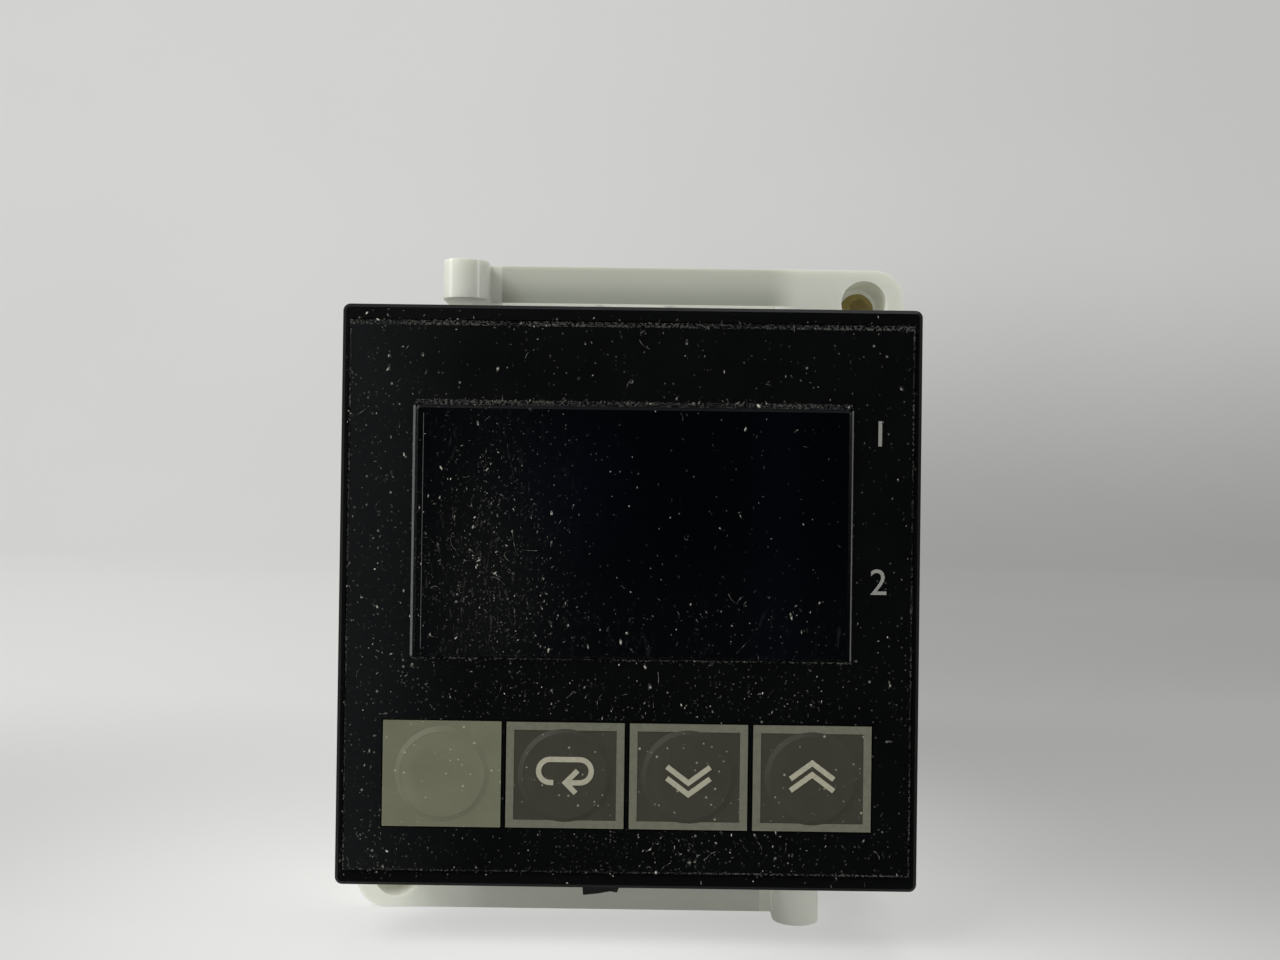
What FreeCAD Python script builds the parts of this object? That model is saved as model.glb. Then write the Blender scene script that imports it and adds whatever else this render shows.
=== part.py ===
"""Panel-mounted PID temperature controller with a slide-on mounting adapter.

The instrument is a 48 mm square front on a 44.8 mm square case that passes through a panel cut-out.
The front unit (bezel, printed sheet, window, keys, display and boards) draws out of the case forwards.
The rear of the case is closed by a terminal block of three columns of five screw terminals.
The adapter is a moulded ring that slides along the case from behind. It carries two clamp screws at
opposite corners and two leaf springs with rounded noses, and all four press on the back of the panel.

Frame: millimetres, +X to the right as seen from the front, +Y into the panel, +Z up.
The origin is the centre of the panel cut-out, in the plane of the panel's front surface,
which is where the rear face of the packing lies.
"""

import FreeCAD
import Part
import math
import os

V = FreeCAD.Vector

# ---------------------------------------------------------------- overall sizes
FACE = 48.0               # square front
FACE_CORNER = 0.6         # corner radius of the front
FACE_CHAMFER = 0.3        # chamfer round the front edge of the bezel
FLANGE_LAP = 1.6          # front beyond the square case behind it, each side
BODY_DEPTH = 78.0         # panel plane to the rear end of the terminal block
BEZEL_DEPTH = 3.8
FLANGE_DEPTH = 2.0
PACKING_DEPTH = 0.8

# ---------------------------------------------------------------- clearances
PLUG_GAP = 0.1            # between pieces that plug into each other
KEY_GAP = 0.1             # round a moving key
SLIDE_GAP = 0.2           # adapter round the case
LENS_GAP = 0.05           # window in its openings
BOARD_GAP = 0.1           # board edges in their guides
CONTACT_GAP = 0.05        # contact fingers to the boards

# ---------------------------------------------------------------- bezel and sheet
FRONT_WALL = 2.2          # thickness of the bezel's front wall
SHEET_THICK = 0.35
SHEET_RECESS = 0.15       # depth of the bezel's recess for the sheet
SHEET_SIDE_MARGIN = 0.7   # bezel left bare at each side of the sheet
SHEET_END_MARGIN = 1.35   # the same above and below it
SHEET_CORNER = 0.5
SKIRT_WALL = 1.2
SKIRT_DEPTH = 8.0         # skirt that plugs into the case, from the joint line
LEDGE_WIDTH = 3.0         # corner ledges that carry the display board
LEDGE_HEIGHT = 1.5
TOOL_SLOT_WIDTH = 4.4     # slots at the joint line for the release tool
TOOL_SLOT_OPENING = 0.8
TOOL_SLOT_REACH = 2.0
TONGUE_WIDTH = 6.0        # latch tongues of the skirt
TONGUE_SLIT = 0.8
TONGUE_LENGTH = 5.0
TONGUE_RELIEF = 0.4       # outer face of a tongue below the skirt's
BARB_LENGTH = 1.6

# ---------------------------------------------------------------- window and display
WINDOW_X = 0.2            # centre of the window, right of the middle
WINDOW_SIDE_MARGIN = 6.0  # half of what the front is wider than the window
WINDOW_TOP_MARGIN = 8.3   # front above the window
WINDOW_KEY_GAP = 5.23     # window to the keys below it
WINDOW_CORNER = 0.4
WINDOW_PROUD = 0.3        # height of the window above the sheet
WINDOW_CHAMFER = 0.28
LENS_LIP = 0.8            # hidden lip above and below the window, and its thickness
HOLDER_SIDE_GAP = 0.6     # display holder to the skirt, at each side
DISPLAY_MARGIN = 0.1      # display holder beyond the window's lip, each side
GLASS_BORDER = 0.9        # holder wall round the display glass
GLASS_THICK = 1.0
GLASS_SEAT = 0.8          # holder ledge behind the glass
GUIDE_THICK = 2.0         # light guide behind the glass

# ---------------------------------------------------------------- keys
KEY_NAMES = ("level", "mode", "down", "up")
KEY_HEIGHT = 8.7
KEY_SPACE = 0.4           # between neighbouring keys
KEY_SIDE_MARGIN = 3.9     # front beside the row of keys
KEY_FOOT_MARGIN = 4.97    # front below the row of keys
KEY_THICK = 1.0
KEY_TRAVEL = 0.3
KEY_OVERTRAVEL = 0.15     # spare depth beyond the travel
DOME_RADIUS = 3.9         # embossed disc on each key
DOME_SLOPE = 0.4
DOME_HEIGHT = 0.15
PLUNGER = 3.0             # square post behind each key
PLUNGER_COLLAR = 4.8
COLLAR_THICK = 0.6
COLLAR_GAP = 0.05
PLUNGER_TIP = 2.4
TIP_LENGTH = 0.45         # thin end of the plunger, behind its collar
PLUNGER_HOLE_GAP = 0.25

# ---------------------------------------------------------------- boards
PCB = 1.2                 # board thickness
SWITCH = 6.0              # square key switch
SWITCH_HEIGHT = 3.4
SWITCH_LID = 0.3          # metal lid of the switch
STEM_RADIUS = 1.6
STEM_OUT = 0.7
STEM_IN = 0.8
STEM_GAP = 0.1
STEM_BORE_SPARE = 0.4     # bore beyond the stem's inner end
BOARD_EDGE_GAP = 1.9      # long boards to the roof and the floor of the case
SIDE_BOARD_REAR_GAP = 0.7  # rear edge to the terminal block's web
SOCKET_WIDTH = 4.2
SOCKET_HEIGHT = 26.0
SOCKET_DEPTH = 5.0
SOCKET_FLOOR = 1.0
SOCKET_END_GAP = 0.2      # long board's front edge to the socket's floor

# ---------------------------------------------------------------- components on the long boards
CHIP = 10.0
CHIP_THICK = 1.6
CHIP_LEAD = 1.1           # reach of the leads beyond the chip body
CHIP_LEAD_THICK = 0.2
CHIP_LEAD_WIDTH = 0.5
CHIP_LEADS = 5            # leads on each side
RELAY_TALL = 12.4
RELAY_LONG = 20.0
RELAY_WIDE = 10.0
RELAY_GAP = 3.6           # relays to the contact fingers behind them
RELAY_WALL_GAP = 1.3      # relays to the side walls of the case
RELAY_Z = 8.0
RELAY_CORNER = 0.6
CORE_LONG = 16.0
CORE_TALL = 12.0
CORE_WIDE = 5.0           # width of the ferrite core along Z
CORE_LIMB = 3.4
WINDING_WIDE = 13.0
BOBBIN_CHEEK = 1.0
TRANSFORMER_Y = 32.0
CAPACITOR_Y = 14.5
MAINS_CAP_RADIUS = 5.0
MAINS_CAP_TALL = 12.0
MAINS_CAP_Z = 11.0
OUTPUT_CAP_RADIUS = 4.0
OUTPUT_CAP_TALL = 10.5
OUTPUT_CAP_Z = -11.0
CAP_EDGE = 0.6            # rounding of a capacitor can
SPACER_GAP = 5.6          # spacer to the contact fingers behind it
SPACER_LONG = 8.0
SPACER_HEIGHT = 20.0
SPACER_PAD = 1.6
SPACER_WEB = 2.0

# ---------------------------------------------------------------- case
CASE_WALL = 1.6
CASE_EDGE = 0.8           # rounding of the case's long edges
GUIDE_RIB = 1.0           # board guide ribs
GUIDE_DROP = 2.6
GUIDE_SET_BACK = 2.8      # ribs start behind the skirt's end
GUIDE_END_GAP = 0.5       # ribs end in front of the contact fingers
VENT_COUNT = 4            # slots each side of the rack
VENT_WIDTH = 1.4
VENT_LENGTH = 16.0
VENT_PITCH = 2.8
VENT_FIRST_X = 10.2
VENT_Y = 36.0
SIDE_VENT_COUNT = 6
SIDE_VENT_PITCH = 5.0
SIDE_VENT_LENGTH = 12.0
CATCH_DEPTH = 0.6         # grooves that the latch barbs snap into
CATCH_LENGTH = 2.2
RACK_WIDTH = 7.0
RACK_PITCH = 2.0
RACK_DEPTH = 0.7
RACK_TEETH = 23
RACK_START = 9.0
SNAP_LENGTH = 1.6         # snap bumps that hold the terminal block
SNAP_WIDTH = 7.0
SNAP_HEIGHT = 1.2
SNAP_Z = 11.0

# ---------------------------------------------------------------- terminal block
ROWS = 5
COLUMN_MARGIN = 9.4       # middle of an outer column from the side of the case
RIB = 1.0
RIB_CORNER = 3.0          # corners cut off the ribs
BLOCK_LENGTH = 16.0       # terminal block behind the case
RIB_REACH = 10.0          # ribs beyond the outer columns' seats
STEP_HEIGHT = 4.6         # middle column's seats above the outer ones
STEP_HALF = 6.4           # half width of the raised middle step
SPIGOT_DEPTH = 3.5
SPIGOT_WALL = 1.4
SCREW_RADIUS = 1.75
SCREW_POCKET = 4.2        # square pocket behind a seat for the screw's end
SCREW_LENGTH = 6.0
SCREW_HEAD = 3.1
SCREW_HEAD_HIGH = 2.2
WASHER = 6.6
WASHER_THICK = 0.8
WASHER_HOLE_GAP = 0.1
SEAT_WIDTH = 9.4          # terminal plates
SEAT_RIB_GAP = 0.38       # terminal plates to the ribs above and below them
SEAT_THICK = 0.8
SEAT_HOLE_GAP = 0.05
LEG_THICK = 0.4
LEG_WIDTH = 3.2
LEG_SLOT_GAP = 0.1
LEG_BEND = 1.5            # in front of the case's rear end, where the leg bends towards the board
CONTACT_REACH = 4.5       # in front of the case's rear end, where the finger bears on the board
FINGER_REACH = 6.4        # in front of the case's rear end, where the finger ends
FINGER_FLARE = 0.6

# ---------------------------------------------------------------- mounting adapter
RING_WALL = 1.8
RING_START = 6.4
RING_DEPTH = 13.6
RING_CORNER = 1.6
SPRING_Y = 4.0            # front face of the springs and clamp blocks
SPRING_THICK = 1.4
SPRING_WIDTH = 3.4        # along Z
SPRING_FOOT = 3.0         # thickness of the spring behind its nose
SPRING_FOOT_REACH = 1.0   # how far the thick part runs beyond the nose
NOSE_X = -15.0            # middle of the nose on the upper spring
NOSE_RADIUS = 2.0
NOSE_GAP = 0.1            # nose to the panel plane
BLOCK_X = 12.8            # inner end of the clamp block
BLOCK_DEPTH = 12.0
BLOCK_CORNER = 2.7
CLAMP_INSET = 3.6         # axis of the clamp screw from the ring's outer side
CLAMP_DROP = 3.0          # axis of the clamp screw below the block's top
CLAMP_HEAD_GAP = 0.85     # head of the clamp screw to the case
POCKET_RADIUS = 2.05
POCKET_DEPTH = 5.0
CLAMP_RADIUS = 1.5
CLAMP_GAP = 0.05
CLAMP_LENGTH = 20.0
CLAMP_SET_BACK = 3.0      # screw end behind the block's front face
CLAMP_END_CHAMFER = 0.25
CLAMP_HEAD = 2.75
CLAMP_HEAD_HIGH = 2.0
HEAD_EDGE = 0.5           # chamfer of the clamp screws' heads
RECESS_WIDTH = 0.8        # cross recess of the clamp screws' heads
RECESS_REACH = 3.6
RECESS_DEPTH = 1.2
PAWL_WIDTH = 6.0
PAWL_SLIT = 0.8
PAWL_ROOT = 3.0           # ring left whole in front of the pawl
PAWL_THICK = 1.1
PAWL_LIFT = 0.1           # tooth tips above the rack's crests
PAWL_TEETH = 3
PAWL_TAIL = 3.0           # release tab behind the ring
TAIL_RISE = 1.4

# ---------------------------------------------------------------- torn lip of the packing
PACKING_MARGIN = 0.4      # packing inside the flange's outline
LIP = ((-4.05, 0.0), (-3.70, 3.3), (-2.40, 3.15), (-1.35, 2.95), (-0.75, 3.05), (-0.15, 1.3), (-0.05, 0.0))

# ---------------------------------------------------------------- places worked out from the sizes
BODY = FACE - 2 * FLANGE_LAP                          # square case behind the panel
SHEET_WIDTH = FACE - 2 * SHEET_SIDE_MARGIN
SHEET_HEIGHT = FACE - 2 * SHEET_END_MARGIN
KEY_PITCH = (FACE - 2 * KEY_SIDE_MARGIN + KEY_SPACE) / len(KEY_NAMES)
KEY_WIDTH = KEY_PITCH - KEY_SPACE
KEY_Z = KEY_FOOT_MARGIN + (KEY_HEIGHT - FACE) / 2     # middle of the row of keys
WINDOW_WIDTH = FACE - 2 * WINDOW_SIDE_MARGIN
WINDOW_HEIGHT = FACE - WINDOW_TOP_MARGIN - WINDOW_KEY_GAP - KEY_HEIGHT - KEY_FOOT_MARGIN
WINDOW_Z = (FACE - WINDOW_HEIGHT) / 2 - WINDOW_TOP_MARGIN   # middle of the window
FLANGE_Y = -(PACKING_DEPTH + FLANGE_DEPTH)            # joint line of bezel and case
BEZEL_Y = FLANGE_Y - BEZEL_DEPTH                      # front of the bezel
SHEET_FLOOR_Y = BEZEL_Y + SHEET_RECESS
SHEET_Y = SHEET_FLOOR_Y - SHEET_THICK                 # front of the sheet
WALL_Y = BEZEL_Y + FRONT_WALL                         # back of the bezel's front wall
WINDOW_Y = SHEET_Y - WINDOW_PROUD
LENS_REAR_Y = WALL_Y + LENS_LIP
BAY = BODY - 2 * CASE_WALL                            # square inside of the case
SKIRT = BAY - 2 * PLUG_GAP                            # square outside of the skirt
SKIRT_BAY = SKIRT - 2 * SKIRT_WALL
SKIRT_END_Y = FLANGE_Y + SKIRT_DEPTH
DISPLAY_BOARD = SKIRT_BAY - 4 * BOARD_GAP
KEY_REAR_Y = SHEET_Y + KEY_THICK
TROUGH_Y = KEY_REAR_Y + KEY_TRAVEL + KEY_OVERTRAVEL   # floor of the key trough
COLLAR_Y = WALL_Y + COLLAR_GAP
STEM_Y = COLLAR_Y + COLLAR_THICK + TIP_LENGTH         # where plunger and switch stem meet
SWITCH_Y = STEM_Y + STEM_OUT
DISPLAY_BOARD_Y = SWITCH_Y + SWITCH_HEIGHT            # front face of the display board
DISPLAY_REAR_Y = DISPLAY_BOARD_Y + PCB
SIDE_BOARD_HEIGHT = BAY - 2 * BOARD_EDGE_GAP
SIDE_BOARD_X = BAY / 2 - RELAY_WALL_GAP - RELAY_TALL - PCB / 2   # middle plane of each long board
SIDE_BOARD_FACE = SIDE_BOARD_X + PCB / 2              # outer faces, where the components stand
SIDE_BOARD_INNER = SIDE_BOARD_X - PCB / 2
SIDE_BOARD_START = DISPLAY_REAR_Y + SOCKET_FLOOR + SOCKET_END_GAP
CASE_REAR = BODY_DEPTH - BLOCK_LENGTH                 # where the terminal block's body starts
SIDE_BOARD_END = CASE_REAR - SIDE_BOARD_REAR_GAP
FINGER_Y = CASE_REAR - FINGER_REACH                   # front ends of the contact fingers
RELAY_Y = FINGER_Y - RELAY_GAP - RELAY_LONG / 2
SPACER_Y = FINGER_Y - SPACER_GAP - SPACER_LONG / 2
CHIP_Y = (DISPLAY_REAR_Y + SOCKET_DEPTH + RELAY_Y - RELAY_LONG / 2) / 2   # between socket and relays
LOW_SEAT = BODY_DEPTH - RIB_REACH                     # seats of the outer columns
HIGH_SEAT = LOW_SEAT + STEP_HEIGHT                    # seats of the middle column
RING_BAY = BODY + 2 * SLIDE_GAP
RING = RING_BAY + 2 * RING_WALL
RING_END = RING_START + RING_DEPTH
CLAMP_X = RING / 2 - CLAMP_INSET                      # axis of the upper clamp screw
CLAMP_Z = BODY / 2 + CLAMP_HEAD_GAP + CLAMP_HEAD
SPAN_HALF = CLAMP_Z + CLAMP_DROP                      # half height over the springs and clamp blocks
KEY_X = tuple((i - (len(KEY_NAMES) - 1) / 2) * KEY_PITCH for i in range(len(KEY_NAMES)))
COLUMN_X = BODY / 2 - COLUMN_MARGIN                   # outer columns' distance from the middle one
ROW_PITCH = (BODY - RIB) / ROWS
SEAT_HEIGHT = ROW_PITCH - RIB - 2 * SEAT_RIB_GAP
ROW_Z = tuple((i - (ROWS - 1) / 2) * ROW_PITCH for i in range(ROWS))


# ---------------------------------------------------------------- shape helpers
def block(x0, x1, y0, y1, z0, z1):
    """A box between two limits on each axis."""
    return Part.makeBox(x1 - x0, y1 - y0, z1 - z0, V(x0, y0, z0))


def plate(width, height, y0, y1, x=0.0, z=0.0, corner=0.0):
    """A plate that faces the front, centred on x and z, with rounded corners."""
    made = block(x - width / 2, x + width / 2, y0, y1, z - height / 2, z + height / 2)
    return round_edges(made, V(0, 1, 0), corner) if corner else made


def round_edges(shape, direction, radius):
    """Rounds the straight edges that run along a direction."""
    edges = [e for e in shape.Edges if runs_along(e, direction)]
    return shape.makeFillet(radius, edges)


def runs_along(edge, direction):
    """Whether an edge is straight and parallel to a direction."""
    if edge.Curve.TypeId != "Part::GeomLine":
        return False
    return abs(abs(edge.tangentAt(edge.FirstParameter).dot(direction)) - 1) < 1e-6


def rod(radius, y0, y1, x=0.0, z=0.0):
    """A round rod along Y."""
    return Part.makeCylinder(radius, y1 - y0, V(x, y0, z), V(0, 1, 0))


def extruded(points, travel):
    """The closed outline through the points, carried along travel."""
    outline = Part.makePolygon([*points, points[0]])
    return Part.Face(outline).extrude(travel)


def profile_xy(points, z0, z1):
    """An outline of (x, y) points carried from z0 to z1."""
    return extruded([V(x, y, z0) for x, y in points], V(0, 0, z1 - z0))


def profile_yz(points, x0, x1):
    """An outline of (y, z) points carried from x0 to x1."""
    return extruded([V(x0, y, z) for y, z in points], V(x1 - x0, 0, 0))


def turned(points, x=0.0, z=0.0):
    """A solid turned about an axis along Y through x and z, from (radius, y) points."""
    outline = Part.makePolygon([V(x + r, y, z) for r, y in [*points, points[0]]])
    return Part.Face(outline).revolve(V(x, 0, z), V(0, 1, 0), 360)


def strip(points, thickness, z0, z1):
    """A bent strip of sheet metal whose middle line is (x, y) points, as wide as z0 to z1."""
    path = [V(x, y, 0) for x, y in points]
    left = []
    right = []
    for i, p in enumerate(path):
        before = (p - path[i - 1]).normalize() if i else None
        after = (path[i + 1] - p).normalize() if i + 1 < len(path) else None
        ways = [w for w in (before, after) if w]
        normals = [V(-w.y, w.x, 0) for w in ways]
        mitre = sum(normals[1:], normals[0]).normalize()
        reach = thickness / 2 / mitre.dot(normals[0])
        left.append(p + mitre * reach)
        right.append(p - mitre * reach)
    outline = [(q.x, q.y) for q in left + right[::-1]]
    return profile_xy(outline, z0, z1)


def joined(*shapes):
    """One solid from shapes that touch."""
    return shapes[0].fuse(list(shapes[1:])).removeSplitter()


def half_turn(shape):
    """A copy turned half round the Y axis, as the adapter's lower half is of its upper."""
    return shape.copy().rotate(V(0, 0, 0), V(0, 1, 0), 180)


def mirrored_x(shape):
    """A copy mirrored from left to right."""
    return shape.mirror(V(0, 0, 0), V(1, 0, 0))


def mirrored_z(shape):
    """A copy mirrored from top to bottom."""
    return shape.mirror(V(0, 0, 0), V(0, 0, 1))


def both(shape, mirror):
    """A shape and its mirrored copy."""
    return [shape, mirror(shape)]


def cross_recess(y_face, depth, reach, width, x, z):
    """The cross of a screw head, cut forwards from its face at y_face."""
    upright = block(x - width / 2, x + width / 2, y_face - depth, y_face, z - reach / 2, z + reach / 2)
    level = block(x - reach / 2, x + reach / 2, y_face - depth, y_face, z - width / 2, z + width / 2)
    return [upright, level]


# ---------------------------------------------------------------- front unit
def front_bezel():
    """Moulded bezel: face plate, hollow skirt that plugs into the case, ledges and latch tongues."""
    face = plate(FACE, FACE, BEZEL_Y, FLANGE_Y, corner=FACE_CORNER)
    rim = [e for e in face.Edges if e.BoundBox.YMax < BEZEL_Y + 1e-6]
    face = face.makeChamfer(FACE_CHAMFER, rim)
    skirt = plate(SKIRT, SKIRT, FLANGE_Y, SKIRT_END_Y)
    recess = plate(
        SHEET_WIDTH + 2 * PLUG_GAP, SHEET_HEIGHT + 2 * PLUG_GAP, BEZEL_Y, SHEET_FLOOR_Y, corner=SHEET_CORNER
    )
    bay = plate(SKIRT_BAY, SKIRT_BAY, WALL_Y, SKIRT_END_Y)
    opening = plate(
        WINDOW_WIDTH + 2 * LENS_GAP,
        WINDOW_HEIGHT + 2 * LENS_GAP,
        BEZEL_Y,
        WALL_Y,
        WINDOW_X,
        WINDOW_Z,
        WINDOW_CORNER,
    )
    keys_width = (len(KEY_NAMES) - 1) * KEY_PITCH + KEY_WIDTH
    trough = plate(keys_width + 2 * KEY_GAP, KEY_HEIGHT + 2 * KEY_GAP, BEZEL_Y, TROUGH_Y, z=KEY_Z)
    hole = PLUNGER + 2 * PLUNGER_HOLE_GAP
    holes = [plate(hole, hole, TROUGH_Y, WALL_Y, x, KEY_Z) for x in KEY_X]
    slot_x = TOOL_SLOT_WIDTH / 2
    tool_slot = block(
        -slot_x, slot_x, FLANGE_Y - TOOL_SLOT_OPENING, FLANGE_Y, FACE / 2 - TOOL_SLOT_REACH, FACE / 2
    )
    cuts = [recess, bay, opening, trough, *holes, *both(tool_slot, mirrored_z)]
    return joined(face, skirt).cut(cuts + tongue_cuts()).fuse(board_ledges()).removeSplitter()


def tongue_cuts():
    """Slits and relief that free a latch tongue in the skirt's top and bottom walls."""
    root = SKIRT_END_Y - TONGUE_LENGTH
    edge = TONGUE_WIDTH / 2
    top = SKIRT / 2
    slit = block(edge, edge + TONGUE_SLIT, root, SKIRT_END_Y, top - SKIRT_WALL, top)
    relief = block(-edge, edge, root, SKIRT_END_Y - BARB_LENGTH, top - TONGUE_RELIEF, top)
    slope = profile_yz(
        [
            (SKIRT_END_Y - BARB_LENGTH, top),
            (SKIRT_END_Y, top),
            (SKIRT_END_Y, top - TONGUE_RELIEF),
        ],
        -edge,
        edge,
    )
    upper = [*both(slit, mirrored_x), relief, slope]
    return upper + [mirrored_z(cut) for cut in upper]


def board_ledges():
    """Four corner ledges from the front wall to the display board's front face."""
    side = SKIRT_BAY / 2
    ledge = block(side - LEDGE_WIDTH, side, WALL_Y, DISPLAY_BOARD_Y, side - LEDGE_HEIGHT, side)
    pair = both(ledge, mirrored_x)
    return pair + [mirrored_z(piece) for piece in pair]


def front_sheet():
    """Printed sheet in the bezel's recess, open at the window and at each key."""
    sheet = plate(SHEET_WIDTH, SHEET_HEIGHT, SHEET_Y, SHEET_FLOOR_Y, corner=SHEET_CORNER)
    window = plate(
        WINDOW_WIDTH + 2 * LENS_GAP,
        WINDOW_HEIGHT + 2 * LENS_GAP,
        SHEET_Y,
        SHEET_FLOOR_Y,
        WINDOW_X,
        WINDOW_Z,
        WINDOW_CORNER,
    )
    keys = [
        plate(KEY_WIDTH + 2 * KEY_GAP, KEY_HEIGHT + 2 * KEY_GAP, SHEET_Y, SHEET_FLOOR_Y, x, KEY_Z)
        for x in KEY_X
    ]
    return sheet.cut([window, *keys])


def display_window():
    """Smoked window with a chamfered front and a lip behind the front wall."""
    lens = plate(WINDOW_WIDTH, WINDOW_HEIGHT, WINDOW_Y, WALL_Y, WINDOW_X, WINDOW_Z, WINDOW_CORNER)
    front = [e for e in lens.Edges if e.BoundBox.YMax < WINDOW_Y + 1e-6]
    lens = lens.makeChamfer(WINDOW_CHAMFER, front)
    width, height = holder_size()
    margin = 2 * DISPLAY_MARGIN
    lip = plate(width - margin, height - margin, WALL_Y, LENS_REAR_Y, WINDOW_X, WINDOW_Z)
    return joined(lens, lip)


def holder_size():
    """Width and height of the display holder: across the skirt, and past the window's lip."""
    return SKIRT_BAY - 2 * HOLDER_SIDE_GAP, WINDOW_HEIGHT + 2 * (LENS_LIP + DISPLAY_MARGIN)


def glass_size():
    """Width and height of the pocket for the display glass."""
    width, height = holder_size()
    return width - 2 * GLASS_BORDER, height - 2 * GLASS_BORDER


def display_holder():
    """Frame between the window and the display board that carries the glass and the light guide."""
    width, height = holder_size()
    glass_width, glass_height = glass_size()
    glass_rear = LENS_REAR_Y + GLASS_THICK
    frame = plate(width, height, LENS_REAR_Y, DISPLAY_BOARD_Y, WINDOW_X, WINDOW_Z)
    pocket = plate(glass_width, glass_height, LENS_REAR_Y, glass_rear, WINDOW_X, WINDOW_Z)
    through = plate(
        glass_width - 2 * GLASS_SEAT,
        glass_height - 2 * GLASS_SEAT,
        glass_rear,
        DISPLAY_BOARD_Y,
        WINDOW_X,
        WINDOW_Z,
    )
    return frame.cut([pocket, through])


def display_glass():
    """Liquid crystal glass in the holder's pocket."""
    width, height = glass_size()
    return plate(
        width - 2 * PLUG_GAP,
        height - 2 * PLUG_GAP,
        LENS_REAR_Y,
        LENS_REAR_Y + GLASS_THICK,
        WINDOW_X,
        WINDOW_Z,
    )


def light_guide():
    """Light guide that stands on the display board behind the glass."""
    width, height = glass_size()
    inset = 2 * (GLASS_SEAT + PLUG_GAP)
    return plate(
        width - inset, height - inset, DISPLAY_BOARD_Y - GUIDE_THICK, DISPLAY_BOARD_Y, WINDOW_X, WINDOW_Z
    )


def display_board():
    """Square board across the skirt, on the corner ledges."""
    return plate(DISPLAY_BOARD, DISPLAY_BOARD, DISPLAY_BOARD_Y, DISPLAY_REAR_Y)


def key_cap(x):
    """Key field with its embossed disc."""
    cap = plate(KEY_WIDTH, KEY_HEIGHT, SHEET_Y, KEY_REAR_Y, x, KEY_Z)
    disc = turned(
        [
            (0, SHEET_Y),
            (DOME_RADIUS, SHEET_Y),
            (DOME_RADIUS - DOME_SLOPE, SHEET_Y - DOME_HEIGHT),
            (0, SHEET_Y - DOME_HEIGHT),
        ],
        x,
        KEY_Z,
    )
    return joined(cap, disc)


def key_plunger(x):
    """Plunger behind a key, with a collar that stops it behind the bezel's front wall."""
    collar_end = COLLAR_Y + COLLAR_THICK
    post = plate(PLUNGER, PLUNGER, KEY_REAR_Y, COLLAR_Y, x, KEY_Z)
    collar = plate(PLUNGER_COLLAR, PLUNGER_COLLAR, COLLAR_Y, collar_end, x, KEY_Z)
    tip = plate(PLUNGER_TIP, PLUNGER_TIP, collar_end, STEM_Y, x, KEY_Z)
    return joined(post, collar, tip)


def switch_stem(x):
    """Stem of a key switch, which the plunger pushes."""
    return rod(STEM_RADIUS, STEM_Y, SWITCH_Y + STEM_IN, x, KEY_Z)


def key_switch(x):
    """Housing of a key switch on the display board, with its lid and the stem's bore."""
    lid = plate(SWITCH, SWITCH, SWITCH_Y, SWITCH_Y + SWITCH_LID, x, KEY_Z)
    base = plate(SWITCH - SWITCH_LID, SWITCH - SWITCH_LID, SWITCH_Y + SWITCH_LID, DISPLAY_BOARD_Y, x, KEY_Z)
    bore = rod(STEM_RADIUS + STEM_GAP, SWITCH_Y, SWITCH_Y + STEM_IN + STEM_BORE_SPARE, x, KEY_Z)
    return joined(lid, base).cut(bore)


def side_board(side):
    """Long board from the display board's socket to the terminal block, on the left (-1) or right (1)."""
    x = side * SIDE_BOARD_X
    half = SIDE_BOARD_HEIGHT / 2
    return block(x - PCB / 2, x + PCB / 2, SIDE_BOARD_START, SIDE_BOARD_END, -half, half)


def board_socket(side):
    """Edge socket on the back of the display board that takes a long board's front edge."""
    x = side * SIDE_BOARD_X
    body = plate(SOCKET_WIDTH, SOCKET_HEIGHT, DISPLAY_REAR_Y, DISPLAY_REAR_Y + SOCKET_DEPTH, x)
    slot = block(
        x - PCB / 2 - BOARD_GAP,
        x + PCB / 2 + BOARD_GAP,
        DISPLAY_REAR_Y + SOCKET_FLOOR,
        DISPLAY_REAR_Y + SOCKET_DEPTH,
        -SOCKET_HEIGHT / 2,
        SOCKET_HEIGHT / 2,
    )
    return body.cut(slot)


def processor_chip():
    """Flat square chip with leads on four sides, on the control board's outer face."""
    face = -SIDE_BOARD_FACE
    half = CHIP / 2
    body = block(face - CHIP_THICK, face - CHIP_LEAD_THICK, CHIP_Y - half, CHIP_Y + half, -half, half)
    pitch = CHIP / CHIP_LEADS
    leads = []
    for i in range(CHIP_LEADS):
        low = (i - (CHIP_LEADS - 1) / 2) * pitch - CHIP_LEAD_WIDTH / 2
        high = low + CHIP_LEAD_WIDTH
        back = face - CHIP_LEAD_THICK
        for edge in (-half - CHIP_LEAD, half - CHIP_LEAD):
            end = edge + 2 * CHIP_LEAD
            leads.append(block(back, face, CHIP_Y + edge, CHIP_Y + end, low, high))
            leads.append(block(back, face, CHIP_Y + low, CHIP_Y + high, edge, end))
    return joined(body, *leads)


def relay(z):
    """Sealed relay on the control board's outer face."""
    body = block(
        -SIDE_BOARD_FACE - RELAY_TALL,
        -SIDE_BOARD_FACE,
        RELAY_Y - RELAY_LONG / 2,
        RELAY_Y + RELAY_LONG / 2,
        z - RELAY_WIDE / 2,
        z + RELAY_WIDE / 2,
    )
    return round_edges(body, V(1, 0, 0), RELAY_CORNER)


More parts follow.
